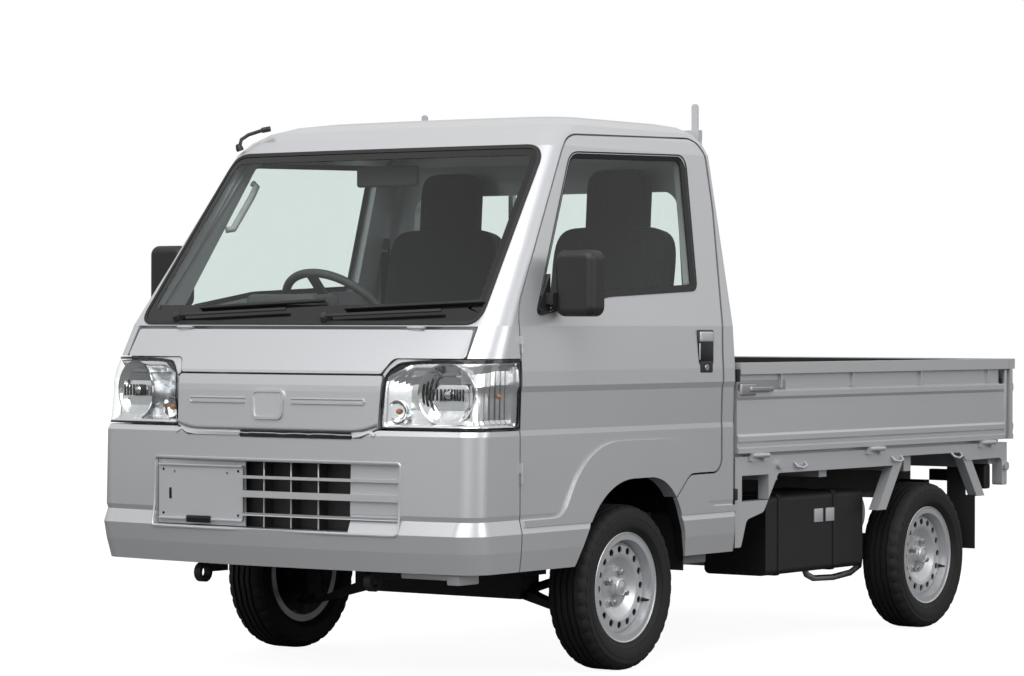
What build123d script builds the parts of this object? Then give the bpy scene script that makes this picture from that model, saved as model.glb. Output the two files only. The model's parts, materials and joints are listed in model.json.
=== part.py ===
"""Small cab-over pickup truck with a drop-side bed.

Every size is in millimetres. Inside this file x is the vehicle's left, y is the
distance behind the foremost point of the bumper and z is the height above the
ground. Each piece is moved forward by half the length when it is written, so
that the origin ends up on the ground under the middle of the truck.
"""
from math import cos, radians, sin
import os

from build123d import *

# Overall sizes
LENGTH = 3395.0
HALF_WIDTH = 737.5

# Wheels and axles
WHEELBASE = 1900.0
FRONT_AXLE_Y = 900.0
FRONT_TRACK = 1275.0
REAR_TRACK = 1290.0
TYRE_RADIUS = 256.0
RIM_RADIUS = 169.5
RIM_WIDTH = 109.0
RIM_WALL = 4.5
BARREL_RADIUS = 152.5
WHEEL_BOSS_RADIUS = 36.0
WHEEL_BOSS_INSET = 27.0
SEAT_GAP = 0.3

# Steering
KINGPIN_LOW = (575.0, 180.0)
KINGPIN_HIGH = (500.0, 700.0)
STRUT_RADIUS = 22.0
COIL_RADIUS = 46.0
STEERING_WHEEL_X = -330.0
STEERING_WHEEL_Y = 756.0
STEERING_WHEEL_Z = 1100.0
STEERING_WHEEL_RADIUS = 185.0
STEERING_RIM_RADIUS = 14.0
COLUMN_TILT = 45.0

# Cab
CAB_REAR_Y = 1480.0
CAB_WALL = 45.0
FLOOR_Z = 500.0
FLOOR_SHEET = 30.0
SEAT_FLOOR_Z = 660.0
SEAT_FLOOR_Y = 800.0
FIREWALL_Y = 200.0
FIREWALL_SHEET = 30.0
NOSE_INNER_Y = 80.0
SILL_Z = 345.0
BUMPER_TOP_Z = 755.0
LAMP_TOP_Z = 962.0
LAMP_INNER_X = 393.0
GARNISH_TOP_Z = 916.0
GARNISH_LOW_Z = 737.0
GARNISH_STAY_X = 200.0
LID_TOP_Z = 1056.0
LID_HALF_WIDTH = 655.0
PANEL_GAP = 6.0
REAR_DOOR_GAP = 10.5
REAR_DOOR_STEP = 8.0
DOOR_SKIN = 8.0
DOOR_INNER_X = 580.0
DOOR_FRONT_Y = 290.0
DOOR_REAR_Y = 1391.0
GLASS = 5.0
GLASS_INSET = 12.0
WINDSCREEN_LOW_Z = 1072.0
WINDSCREEN_TOP_Z = 1606.0
SKIN = 30.0
TALL_STEP = 500.0
TALL_STEP_PARTS = 5

# Bed
BED_FRONT_Y = 1500.0
BED_FLOOR_Z = 650.0
BED_FLOOR_THICKNESS = 22.0
BED_RIB_HEIGHT = 8.0
BED_RIB_WIDTH = 46.0
BED_RIB_COUNT = 9
GATE_THICKNESS = 28.0
GATE_LOW_Z = 652.0
GATE_TOP_Z = 945.0
GATE_RAIL_HEIGHT = 37.0
GATE_RAIL_DEPTH = 45.0
HINGE_RADIUS = 8.0
HINGE_Z = 643.0
SIDE_FRAME_X = 715.0
SIDE_FRAME_THICKNESS = 40.0
MOVING_GAP = 7.0

# Chassis
RAIL_X = 330.0
RAIL_WIDTH = 60.0
RAIL_HEIGHT = 95.0
FRONT_RAIL_Z = 362.0
REAR_RAIL_Z = 460.0

# Wheel wells
WELL_INNER_X = 410.0
WELL_FRONT_Y = 585.0
WELL_REAR_Y = 1215.0
WELL_TOP_Z = 620.0
WELL_SHEET = 25.0
FLOOR_EDGE_X = 683.0
WHEEL_HOLES = 16
WHEEL_HOLE_RADIUS = 11.0
WHEEL_HOLE_CIRCLE = 117.0

# Front face
LID_SHELF_Z = 1062.0
GRILLE_LEFT_X = -469.0
GRILLE_RIGHT_X = 469.0
GRILLE_BLANK_X = 292.0
GRILLE_LOW_Z = 454.0
GRILLE_TOP_Z = 655.0
GRILLE_RECESS = 14.0
GRILLE_BARS = ((9, 607), (20, 556), (9, 495))
GRILLE_UPRIGHTS = (-40, 65, 170)
PLATE_LEFT_X = -455.0
PLATE_RIGHT_X = -120.0
PLATE_LOW_Z = 470.0
PLATE_TOP_Z = 640.0
PLATE_Y = 34.0
PLATE_HOLE_SPACING = 210.0
PLATE_HOLE_Z = 615.0
PLATE_HOLE_RADIUS = 3.5
PLATE_X = (PLATE_LEFT_X + PLATE_RIGHT_X) / 2
TOW_EYE_RADIUS = 18.0
TOW_EYE_Y = 96.0
TOW_EYE_Z = 306.0
DOOR_HINGE_HEIGHTS = ((600, 660), (985, 1035))
DOOR_HINGE_Y = DOOR_FRONT_Y - PANEL_GAP / 2
DOOR_PIN_RADIUS = 2.8
LID_HINGE_Y = 148.0
LID_HINGE_Z = 1058.0
LID_PIN_RADIUS = 4.0
LID_HINGES = ((-470, -430), (430, 470))
MIRROR_RIGHT_RISE = 30.0
MIRROR_FRONT_Y = 450.0
MIRROR_DEPTH = 66.0
STUD_LOW_Z = 170.0
STUD_RADIUS = 9.0
MIRROR_INNER_X = 732.0
MIRROR_OUTER_X = 872.0

# Cabin fittings
COLUMN_LENGTH = 170.0
SEAT_X = 340.0

# Bed fittings
BOARD_Y = 1505.0
GUARD_X = 551.0
RAIL_TOP_Z = REAR_RAIL_Z + RAIL_HEIGHT
KNUCKLE_LOW_Z = 180.0
KNUCKLE_DRUM_RADIUS = 80.0
CROSSMEMBERS_Y = (1560, 1800, 2120, 2700, 3140)
SIDE_GATE_FRONT_Y = BED_FRONT_Y
SIDE_GATE_REAR_Y = 3343.0
TAILGATE_HALF_WIDTH = 735.0
LUG_CENTRES = (1630, 2390, 3200)
TAIL_LUG_CENTRES = (-520, 0, 520)
GATE_TABS_Y = (1762, 2230, 2703, 3200)
HINGE_LENGTH = 50.0
BRACES = (((2585, 605), (2460, 430)), ((3075, 590), (3180, 450)))
BRACE_WIDTH = 60.0
BUFFERS = ((1770, 610), (3352, 553))
ENGINE_HALF_WIDTH = 240.0
CAB_MOUNTS_Y = (330, 1150)

HINGE_X = HALF_WIDTH - HINGE_RADIUS
TAIL_HINGE_Y = LENGTH - HINGE_RADIUS
GATE_FACE_X = HINGE_X - 2.5
TAILGATE_FACE_Y = TAIL_HINGE_Y - 2.5
REAR_AXLE_Y = FRONT_AXLE_Y + WHEELBASE
BED_REAR_Y = TAILGATE_FACE_Y - GATE_THICKNESS - MOVING_GAP
BED_HALF_WIDTH = GATE_FACE_X - GATE_THICKNESS - 9.0
SIDES = (("left", 1), ("right", -1))

# Horizontal sections through the outside of the cab, from the sill up:
# height, half width, front at the middle, bow of the front, corner radius, rear, rear corner
CAB_SECTIONS = (
    (340, 728, 24, 42, 85, CAB_REAR_Y, 20),
    (400, 735, 8, 45, 82, CAB_REAR_Y, 20),
    (452, 737.5, 0, 45, 80, CAB_REAR_Y, 20),
    (493, 727.5, 17, 45, 64, CAB_REAR_Y, 20),
    (508, 729.5, 13, 45, 64, CAB_REAR_Y, 20),
    (740, 729.5, 19, 45, 64, CAB_REAR_Y, 20),
    (756, 728, 28, 45, 68, CAB_REAR_Y, 20),
    (868, 731, 34, 45, 90, CAB_REAR_Y, 20),
    (886, 736, 36, 45, 90, CAB_REAR_Y, 20),
    (930, 735, 46, 45, 100, CAB_REAR_Y, 20),
    (1064, 726, 146, 26, 80, CAB_REAR_Y, 20),
    (1612, 635, 560, 20, 60, CAB_REAR_Y, 30),
    (1652, 619, 604, 20, 80, CAB_REAR_Y, 50),
    (1682, 594, 652, 22, 100, CAB_REAR_Y - 4, 70),
    (1704, 548, 722, 22, 110, CAB_REAR_Y - 16, 80),
    (1716, 480, 810, 20, 110, CAB_REAR_Y - 36, 85),
    (1722, 390, 920, 18, 110, CAB_REAR_Y - 80, 90),
)

# The same for the space inside the cab
CABIN_SECTIONS = (
    (FLOOR_Z, 686, FIREWALL_Y, 8, 60, CAB_REAR_Y - CAB_WALL, 20),
    (930, 688, FIREWALL_Y, 8, 60, CAB_REAR_Y - CAB_WALL, 20),
    (1064, 680, FIREWALL_Y + 6, 8, 60, CAB_REAR_Y - CAB_WALL, 20),
    (1600, 592, 606, 10, 50, CAB_REAR_Y - CAB_WALL, 30),
    (1650, 560, 680, 10, 70, CAB_REAR_Y - CAB_WALL - 8, 50),
    (1690, 440, 850, 8, 90, CAB_REAR_Y - CAB_WALL - 60, 70),
)

# Side outlines: distance from the front, height, corner radius
DOOR_OUTLINE = (
    (DOOR_FRONT_Y, SILL_Z - 15, 0),
    (DOOR_FRONT_Y, 1110, 160),
    (668, 1645, 130),
    (1436, 1664, 70),
    (1437, 1440, 500),
    (DOOR_REAR_Y, 980, 500),
    (DOOR_REAR_Y, 600, 45),
    (1199, 600, 60),
    (1110, 520, 0),
    (1110, SILL_Z - 15, 0),
)
DOOR_WINDOW = (
    (384, 1098, 12),
    (676, 1590, 70),
    (1316, 1604, 38),
    (1276, 1180, 30),
    (780, 1158, 900),
)
MIRROR_PATCH_REAR_Y = 456.0
ARCH_OUTLINE = (
    (552, SILL_Z - 20, 0),
    (577, SILL_Z, 30),
    (722, 595, 280),
    (1100, 595, 180),
    (1172, 420, 60),
    (1182, SILL_Z, 0),
    (1182, SILL_Z - 20, 0),
)
FLARE_OUTLINE = (
    (DOOR_FRONT_Y + 10, 470, 0),
    (DOOR_FRONT_Y + 10, 490, 0),
    (502, 491, 80),
    (636, 712, 300),
    (1190, 712, 250),
    (1300, 505, 30),
    (1345, 491, 40),
    (CAB_REAR_Y - 15, 490, 0),
    (CAB_REAR_Y - 15, 470, 0),
)
SIDE_FRAME_OUTLINE = (
    (BED_FRONT_Y, 640, 0),
    (3372, 640, 0),
    (3372, 484, 8),
    (3333, 484, 8),
    (3333, 585, 20),
    (3061, 582, 20),
    (3030, 612, 30),
    (2600, 612, 30),
    (2540, 581, 20),
    (1768, 581, 20),
    (1676, 457, 30),
    (1571, 436, 30),
    (1536, 348, 10),
    (BED_FRONT_Y, 348, 0),
)
BRACKET_HOLE = ((1541, 495), (1706, 579))

# Outlines seen from the front: x, height, corner radius, right half only
WINDSCREEN_OUTLINE = ((658, WINDSCREEN_LOW_Z, 45), (603, WINDSCREEN_TOP_Z, 60))
LID_OUTLINE = ((386, 922, 8), (410, 968, 25), (LID_HALF_WIDTH, 968, 10), (LID_HALF_WIDTH - 6, LID_TOP_Z - 4, 10))
LAMP_OUTLINE = (
    (LAMP_INNER_X, 761, 8), (LAMP_INNER_X + 8, GARNISH_TOP_Z, 20), (432, LAMP_TOP_Z - 8, 40),
    (540, LAMP_TOP_Z, 300), (760, LAMP_TOP_Z, 0), (760, 761, 0),
)
GARNISH_OUTLINE = (
    (335, GARNISH_LOW_Z, 20), (387, 760, 8), (LAMP_INNER_X + 1, GARNISH_TOP_Z, 10),
)
BUMPER_OUTLINE = ((760, 330, 0), (760, BUMPER_TOP_Z, 0), (388, BUMPER_TOP_Z, 10), (336, GARNISH_LOW_Z - 6, 20))
REAR_WINDOW_OUTLINE = ((560, 1060, 60), (530, 1500, 60))

# Side views of the seat: outline with corner radii, half width
SEAT_FORMS = (
    (((845, 700, 30), (1300, 700, 30), (1320, 780, 30), (1225, 845, 40), (880, 862, 40), (835, 800, 40)), 235),
    (((1228, 810, 20), (1330, 780, 20), (1415, 1360, 30), (1340, 1398, 20)), 225),
    (((1352, 1375, 0), (1408, 1375, 0), (1418, 1560, 30), (1345, 1572, 30)), 130),
)
ARM_OUTLINE = ((310, 205, 0), (540, 147, 0), (597, 147, 8), (597, 165, 8), (520, 165, 0), (310, 240, 0))
DASH_OUTLINE = (
    (190, 865, 0), (470, 865, 40), (600, 900, 50), (608, 1030, 60), (560, 1106, 60), (330, 1122, 200), (190, 1060, 0),
)
SPRING_OUTLINE = (
    (2376, 396, 0), (2620, 316, 400), (2860, 294.3, 400), (3090, 326, 400), (3242, 396, 0),
    (3242, 420, 0), (3090, 350, 400), (2860, 318, 400), (2620, 340, 400), (2376, 420, 0),
)

# Gate cross-section from the bottom up: height, depth of the outer face behind the proudest face
GATE_STEPS = (
    (GATE_LOW_Z, 0), (668, 0), (672, 5), (684, 5), (690, 0), (706, 0), (714, 6),
    (824, 6), (834, 0), (850, 0), (858, 7), (GATE_TOP_Z - GATE_RAIL_HEIGHT, 7),
)

written = []


def save(shape, name):
    """Write one node, moved so that the origin is under the middle of the truck."""
    placed = Pos(0, -LENGTH / 2, 0) * shape
    export_step(placed, f"parts/{name}.step")
    written.append(name)


def box(x0, x1, y0, y1, z0, z1):
    """Block between two corners."""
    size = (abs(x1 - x0), abs(y1 - y0), abs(z1 - z0))
    return Pos((x0 + x1) / 2, (y0 + y1) / 2, (z0 + z1) / 2) * Box(*size)


def rod(start, end, radius):
    """Round bar from one point to another."""
    line = Vector(*end) - Vector(*start)
    plane = Plane(origin=start, z_dir=line)
    return plane * Cylinder(radius, line.length, align=(Align.CENTER, Align.CENTER, Align.MIN))


def side_prism(outline, x0, x1, grow=0.0):
    """Prism across the truck from an outline seen from the side."""
    points = [(0, y, z) for y, z, _ in outline]
    radii = [r for _, _, r in outline]
    if any(radii):
        wire = FilletPolyline(*points, radius=radii, close=True)
    else:
        wire = Polyline(*points, close=True)
    face = make_face(wire)
    if grow:
        face = offset(face, amount=grow)
    solid = extrude(face, amount=abs(x1 - x0), dir=(1, 0, 0))
    return Pos(min(x0, x1), 0, 0) * solid


def cab_section(z, w, front, bow, corner, rear, rear_corner):
    """One horizontal section: bowed front, round front corners, straight sides."""
    turn = sin(radians(45))
    shoulder = front + bow
    inner = w - corner
    rear_inner = w - rear_corner
    front_start = rear - rear_corner
    edges = [
        ThreePointArc((-inner, shoulder, z), (0, front, z), (inner, shoulder, z)),
        ThreePointArc(
            (inner, shoulder, z),
            (inner + corner * turn, shoulder + corner * (1 - turn), z),
            (w, shoulder + corner, z),
        ),
        Line((w, shoulder + corner, z), (w, front_start, z)),
        ThreePointArc(
            (w, front_start, z),
            (rear_inner + rear_corner * turn, front_start + rear_corner * turn, z),
            (rear_inner, rear, z),
        ),
        Line((rear_inner, rear, z), (-rear_inner, rear, z)),
        ThreePointArc(
            (-rear_inner, rear, z),
            (-rear_inner - rear_corner * turn, front_start + rear_corner * turn, z),
            (-w, front_start, z),
        ),
        Line((-w, front_start, z), (-w, shoulder + corner, z)),
        ThreePointArc(
            (-w, shoulder + corner, z),
            (-inner - corner * turn, shoulder + corner * (1 - turn), z),
            (-inner, shoulder, z),
        ),
    ]
    return make_face(Wire(edges))


def divided(sections):
    """The same table with straight in-between rows where the step up is tall."""
    rows = [sections[0]]
    for low, high in zip(sections, sections[1:]):
        count = TALL_STEP_PARTS if high[0] - low[0] > TALL_STEP else 1
        for index in range(1, count + 1):
            share = index / count
            rows.append(tuple(a + (b - a) * share for a, b in zip(low, high)))
    return rows


def stacked(sections):
    """Ruled body through a table of sections."""
    return loft([cab_section(*row) for row in divided(sections)], ruled=True)


def front_prism(outline, y0, y1):
    """Prism along the truck from an outline seen from the front: x, height, corner radius."""
    points = [(x, 0, z) for x, z, _ in outline]
    radii = [r for _, _, r in outline]
    wire = FilletPolyline(*points, radius=radii, close=True)
    solid = extrude(make_face(wire), amount=y1 - y0, dir=(0, 1, 0))
    return Pos(0, y0, 0) * solid


def mirrored(outline):
    """Outline of the right half turned into one for both halves."""
    other = [(-x, z, r) for x, z, r in reversed(outline)]
    return tuple(outline) + tuple(other)


def behind(solid, distance):
    """The same solid moved towards the rear."""
    return Pos(0, distance, 0) * solid


def both(maker):
    """Fuse the left and the right copy of one form."""
    return maker(1) + maker(-1)


def make_shell(outside, cabin):
    """Cab structure before the doors, lamps and skins are taken out of it."""
    well_walls = WELL_SHEET
    nose = box(-650, 650, NOSE_INNER_Y, FIREWALL_Y - FIREWALL_SHEET, 300, 935)
    underside = box(-FLOOR_EDGE_X - 7, FLOOR_EDGE_X + 7, 62, CAB_REAR_Y - 40, 300, FLOOR_Z - FLOOR_SHEET)
    seat_step = box(-FLOOR_EDGE_X - 7, FLOOR_EDGE_X + 7, SEAT_FLOOR_Y, CAB_REAR_Y - 20, FLOOR_Z - 10, SEAT_FLOOR_Z)
    room = cabin - seat_step
    cavity = box(
        -WELL_INNER_X + well_walls, WELL_INNER_X - well_walls,
        SEAT_FLOOR_Y + 25, CAB_REAR_Y - 40, 400, SEAT_FLOOR_Z - 25,
    )
    behind_floor = box(-FLOOR_EDGE_X - 7, FLOOR_EDGE_X + 7, CAB_REAR_Y - 60, 1600, 300, RAIL_TOP_Z + 20)
    shell = outside - nose - underside - cavity - behind_floor
    for _, s in SIDES:
        hump = box(s * (WELL_INNER_X - well_walls), s * 700, WELL_FRONT_Y - well_walls, SEAT_FLOOR_Y + 10,
                   FLOOR_Z - 10, WELL_TOP_Z + well_walls)
        room = room - hump
        rear_pocket = box(s * (WELL_INNER_X - well_walls - 1), s * 690, WELL_REAR_Y + well_walls,
                          CAB_REAR_Y - 40, 400, SEAT_FLOOR_Z - 25)
        shell = shell - rear_pocket
    shell = shell - room
    for _, s in SIDES:
        shell = shell - box(s * WELL_INNER_X, s * 690, WELL_FRONT_Y, WELL_REAR_Y, 300, WELL_TOP_Z)
        shell = shell - side_prism(ARCH_OUTLINE, s * 600, s * 760)
    return shell


def make_door(outside, cabin):
    """Both doors and their panes, and the prism that clears the left door's opening."""
    s = 1
    prism = side_prism(DOOR_OUTLINE, s * DOOR_INNER_X, s * 760)
    stretch = REAR_DOOR_GAP - PANEL_GAP
    opening_outline = [(y + stretch if y > 1300 else y, z, r) for y, z, r in DOOR_OUTLINE]
    opening = side_prism(opening_outline, s * (DOOR_INNER_X - MOVING_GAP), s * 760, grow=PANEL_GAP)
    opening = opening - box(-FLOOR_EDGE_X, FLOOR_EDGE_X, 0, CAB_REAR_Y, 300, 700)
    door = (outside & prism) - cabin - side_prism(ARCH_OUTLINE, s * 540, s * 780)
    door = door - box(-FLOOR_EDGE_X - 7, FLOOR_EDGE_X + 7, 0, CAB_REAR_Y, 300, 700)
    rear_strip = (prism - Pos(0, -REAR_DOOR_STEP, 0) * prism) & box(0, s * 800, 1300, 1500, 900, 1700)
    door = door - (rear_strip & Pos(-s * DOOR_SKIN, 0, 0) * outside)
    window = side_prism(DOOR_WINDOW, s * 560, s * 760)
    pane_outer = Pos(-s * GLASS_INSET, 0, 0) * outside
    pane_inner = Pos(-s * (GLASS_INSET + GLASS), 0, 0) * outside
    pane_space = box(0, s * 800, MIRROR_PATCH_REAR_Y, 1400, 1000, 1650)
    glass = ((pane_outer & window) & pane_space) - pane_inner
    door = door - window
    for low, high in DOOR_HINGE_HEIGHTS:
        top = (low + high) / 2 - SEAT_GAP
        door = door + rod((HALF_WIDTH, DOOR_HINGE_Y, low), (HALF_WIDTH, DOOR_HINGE_Y, top), DOOR_PIN_RADIUS)
        door = door + box(715, HALF_WIDTH, DOOR_HINGE_Y, DOOR_FRONT_Y + 1, low, top)
    save(door, "door_left")
    save(glass, "door_glass_left")
    save(mirror(door, about=Plane.YZ), "door_right")
    save(mirror(glass, about=Plane.YZ), "door_glass_right")
    return opening


def hinge_half(low, high):
    """Fixed upper halves of a door hinge, left and right."""
    middle = (low + high) / 2

    def one(s):
        x = s * HALF_WIDTH
        pin = rod((x, DOOR_HINGE_Y, middle), (x, DOOR_HINGE_Y, high), DOOR_PIN_RADIUS)
        return pin + box(s * 715, x, DOOR_FRONT_Y - PANEL_GAP - 1, DOOR_HINGE_Y, middle, high)

    return both(one)


def make_mirror(side, s):
    """Outside mirror: corner patch in the door window, arm and housing."""
    patch = side_prism(DOOR_WINDOW, s * 690, s * 719)
    patch = patch & box(s * 600, s * 800, 300, MIRROR_PATCH_REAR_Y - 0.3, 1000, 1400)
    rise = MIRROR_RIGHT_RISE if s < 0 else 0.0
    arm = box(s * 705, s * (MIRROR_INNER_X + 15), MIRROR_FRONT_Y - 22, MIRROR_FRONT_Y + 18, 1128, 1162)
    housing = box(s * MIRROR_INNER_X, s * MIRROR_OUTER_X, MIRROR_FRONT_Y, MIRROR_FRONT_Y + MIRROR_DEPTH,
                  1092 + rise, 1290 + rise)
    housing = fillet(housing.edges().filter_by(Axis.Y), 30)
    housing = fillet(housing.faces().sort_by(Axis.Y)[0].edges(), 24)
    save(patch + arm + housing, f"mirror_{side}")


def make_cab():
    """Every cab panel, cut from one outside surface so that all of them line up."""
    outside = stacked(CAB_SECTIONS)
    for _, s in SIDES:
        outside = outside + side_prism(FLARE_OUTLINE, s * (HALF_WIDTH - 30), s * HALF_WIDTH)
    cabin = stacked(CABIN_SECTIONS)
    shell = make_shell(outside, cabin)
    left_half = (shell & box(0, 800, -50, 1600, 300, 1800)) - make_door(outside, cabin)
    shell = left_half + mirror(left_half, about=Plane.YZ)
    for side, s in SIDES:
        make_mirror(side, s)

    screen = front_prism(mirrored(WINDSCREEN_OUTLINE), 0, 700)
    screen_glass = (outside & screen) - behind(outside, GLASS + 1)
    save(screen_glass, "windscreen")
    shell = shell - screen

    lid_cut = front_prism(mirrored(LID_OUTLINE), 0, 230)
    lid = (outside & lid_cut) - Pos(0, 18, -12) * outside
    for x0, x1 in LID_HINGES:
        lid = lid + rod((x0, LID_HINGE_Y, LID_HINGE_Z), (x1, LID_HINGE_Y, LID_HINGE_Z), LID_PIN_RADIUS)
        lid = lid + box(x0, x1, LID_HINGE_Y, LID_HINGE_Y + 8, LID_TOP_Z - 20, LID_HINGE_Z)
    save(lid, "front_lid")

    lamp_y = DOOR_FRONT_Y - PANEL_GAP
    nose_hollow = box(-650, 650, NOSE_INNER_Y, FIREWALL_Y - FIREWALL_SHEET, 300, 1100)
    for side, s in SIDES:
        outline = [(s * x, z, r) for x, z, r in LAMP_OUTLINE]
        lamp = (outside & front_prism(outline, 0, lamp_y)) - (nose_hollow & behind(outside, SKIN))
        save(lamp - box(-690, 690, FIREWALL_Y - FIREWALL_SHEET, 400, 300, 1100), f"headlamp_{side}")

    garnish_cut = front_prism(mirrored(GARNISH_OUTLINE), 0, 200)
    garnish = (outside & garnish_cut) - behind(outside, SKIN)
    for _, s in SIDES:
        garnish = garnish + box(s * (GARNISH_STAY_X - 20), s * (GARNISH_STAY_X + 20),
                                SKIN + 15, FIREWALL_Y - FIREWALL_SHEET, 820, 850)
    save(garnish, "front_garnish")

    bumper_cut = front_prism(mirrored(BUMPER_OUTLINE), 0, lamp_y)
    bumper = (outside & bumper_cut) - nose_hollow
    bumper = bumper - box(-690, 690, FIREWALL_Y - FIREWALL_SHEET, 400, 300, 1100)
    under_nose = box(-705, 705, -50, 400, 300, FLOOR_Z - FLOOR_SHEET)
    bumper = bumper - (under_nose & behind(outside, 2 * SKIN))
    bumper = bumper - box(GRILLE_LEFT_X, GRILLE_BLANK_X, 0, 200, GRILLE_LOW_Z, GRILLE_TOP_Z)
    blank = box(GRILLE_BLANK_X - 1, GRILLE_RIGHT_X, -10, 120, GRILLE_LOW_Z, GRILLE_TOP_Z)
    bumper = bumper - (blank - behind(outside, GRILLE_RECESS))
    bumper = bumper + hinge_half(*DOOR_HINGE_HEIGHTS[0])
    save(bumper, "front_bumper")
    make_grille(outside)

    nose_zone = box(-800, 800, -50, lamp_y, 300, LAMP_TOP_Z + PANEL_GAP)
    skin_zone = nose_zone - box(-FLOOR_EDGE_X - 7, FLOOR_EDGE_X + 7, FIREWALL_Y - FIREWALL_SHEET, 400, 300, 1100)
    shell = shell - skin_zone
    shell = shell - box(-LID_HALF_WIDTH - 6, LID_HALF_WIDTH + 6, -50, FIREWALL_Y - 8, 900, LID_SHELF_Z)

    rear_window_cut = front_prism(mirrored(REAR_WINDOW_OUTLINE), CAB_REAR_Y - 120, CAB_REAR_Y + 20)
    rear_glass = rear_window_cut & box(-800, 800, CAB_REAR_Y - 22, CAB_REAR_Y - 22 + GLASS, 900, 1700)
    save(rear_glass, "rear_window")
    shell = shell - rear_window_cut

    save(shell & box(-800, 800, 0, 1600, WINDSCREEN_TOP_Z, 1800), "cab_roof")
    lower = shell & box(-800, 800, 0, 1600, 300, WINDSCREEN_TOP_Z)
    back_zone = box(-800, 800, DOOR_REAR_Y + 3, 1600, 300, WINDSCREEN_TOP_Z)
    for _, s in SIDES:
        back_zone = back_zone + box(s * 690, s * 800, 1100, 1600, 300, 640)
    save(lower & back_zone, "cab_back")
    front = lower - back_zone
    pillar_low = LID_SHELF_Z + 10
    for side, s in SIDES:
        save(front & box(s * 300, s * 800, 0, 1600, pillar_low, WINDSCREEN_TOP_Z), f"pillar_{side}")
    cowl = front & box(-800, 800, 0, 1600, 935, pillar_low)
    cowl = cowl + hinge_half(*DOOR_HINGE_HEIGHTS[1])
    for x0, x1 in LID_HINGES:
        for x in (x0 - 10 - SEAT_GAP, x1 + SEAT_GAP):
            cowl = cowl + rod((x, LID_HINGE_Y, LID_HINGE_Z), (x + 10, LID_HINGE_Y, LID_HINGE_Z), LID_PIN_RADIUS)
            cowl = cowl + box(x, x + 10, LID_HINGE_Y, LID_HINGE_Y + 8, LID_HINGE_Z - 2, LID_SHELF_Z + 1)
    save(cowl, "cowl")
    save(front & box(-800, 800, 0, 1600, 300, 935), "cab_floor")
    return cabin


def make_grille(outside):
    """Bars, dark backing with its uprights, and the plate bracket in the bumper's opening."""
    front_of_bars = behind(outside, 4)
    back_of_bars = behind(outside, GRILLE_RECESS - 0.2)
    bars = []
    for height, z in GRILLE_BARS:
        block = box(PLATE_RIGHT_X + 6, GRILLE_RIGHT_X, -10, 120, z - height / 2, z + height / 2)
        bars.append((block & front_of_bars) - back_of_bars)
    save(Compound(bars), "grille_bars")
    backing = box(GRILLE_LEFT_X - 20, GRILLE_BLANK_X + 20, NOSE_INNER_Y, NOSE_INNER_Y + 6,
                  GRILLE_LOW_Z - 20, GRILLE_TOP_Z + 20)
    for x in GRILLE_UPRIGHTS:
        slat = box(x - 3, x + 3, 40, NOSE_INNER_Y + 1, GRILLE_LOW_Z + SEAT_GAP, GRILLE_TOP_Z - SEAT_GAP)
        backing = backing + slat
    save(backing, "grille_backing")
    plate = box(PLATE_LEFT_X, PLATE_RIGHT_X, PLATE_Y, PLATE_Y + 3, PLATE_LOW_Z, PLATE_TOP_Z)
    legs = both(lambda s: box(PLATE_X + s * 60 - 12, PLATE_X + s * 60 + 12, PLATE_Y + 2, NOSE_INNER_Y, 520, 600))
    plate = plate + legs
    for s in (1, -1):
        hole = rod((PLATE_X + s * PLATE_HOLE_SPACING / 2, 0, PLATE_HOLE_Z),
                   (PLATE_X + s * PLATE_HOLE_SPACING / 2, 100, PLATE_HOLE_Z), PLATE_HOLE_RADIUS)
        plate = plate - hole
    save(plate, "plate_bracket")


def make_cabin(cabin):
    """Dashboard with column cover, seats and steering wheel."""
    dash = side_prism(DASH_OUTLINE, -650, 650) & behind(cabin, SEAT_GAP)
    tilt = radians(COLUMN_TILT)
    along = (0, cos(tilt), sin(tilt))
    centre = Vector(STEERING_WHEEL_X, STEERING_WHEEL_Y, STEERING_WHEEL_Z)

    def on_column(distance):
        point = centre - Vector(*along) * distance
        return (point.X, point.Y, point.Z)

    cover = rod(on_column(COLUMN_LENGTH + SEAT_GAP), on_column(COLUMN_LENGTH + 150), 40)
    save(dash + cover, "dashboard")

    plane = Plane(origin=(centre.X, centre.Y, centre.Z), x_dir=(1, 0, 0), z_dir=along)
    wheel = plane * Torus(STEERING_WHEEL_RADIUS, STEERING_RIM_RADIUS)
    wheel = wheel + plane * (Pos(0, 0, -24) * Cylinder(62, 44))
    for angle in (0, 180, 270):
        reach = STEERING_WHEEL_RADIUS
        spoke = Pos(reach / 2, 0, -8) * Box(reach, 34, 12)
        wheel = wheel + plane * (Rot(0, 0, angle) * spoke)
    wheel = wheel + rod(on_column(20), on_column(COLUMN_LENGTH), 24)
    save(wheel, "steering_wheel")

    for side, s in SIDES:
        seat = None
        for outline, half_width in SEAT_FORMS:
            form = side_prism(outline, s * SEAT_X - half_width, s * SEAT_X + half_width)
            seat = form if seat is None else seat + form
        base = box(s * SEAT_X - 190, s * SEAT_X + 190, 890, 1290, SEAT_FLOOR_Z, 705)
        save(seat + base, f"seat_{side}")


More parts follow.
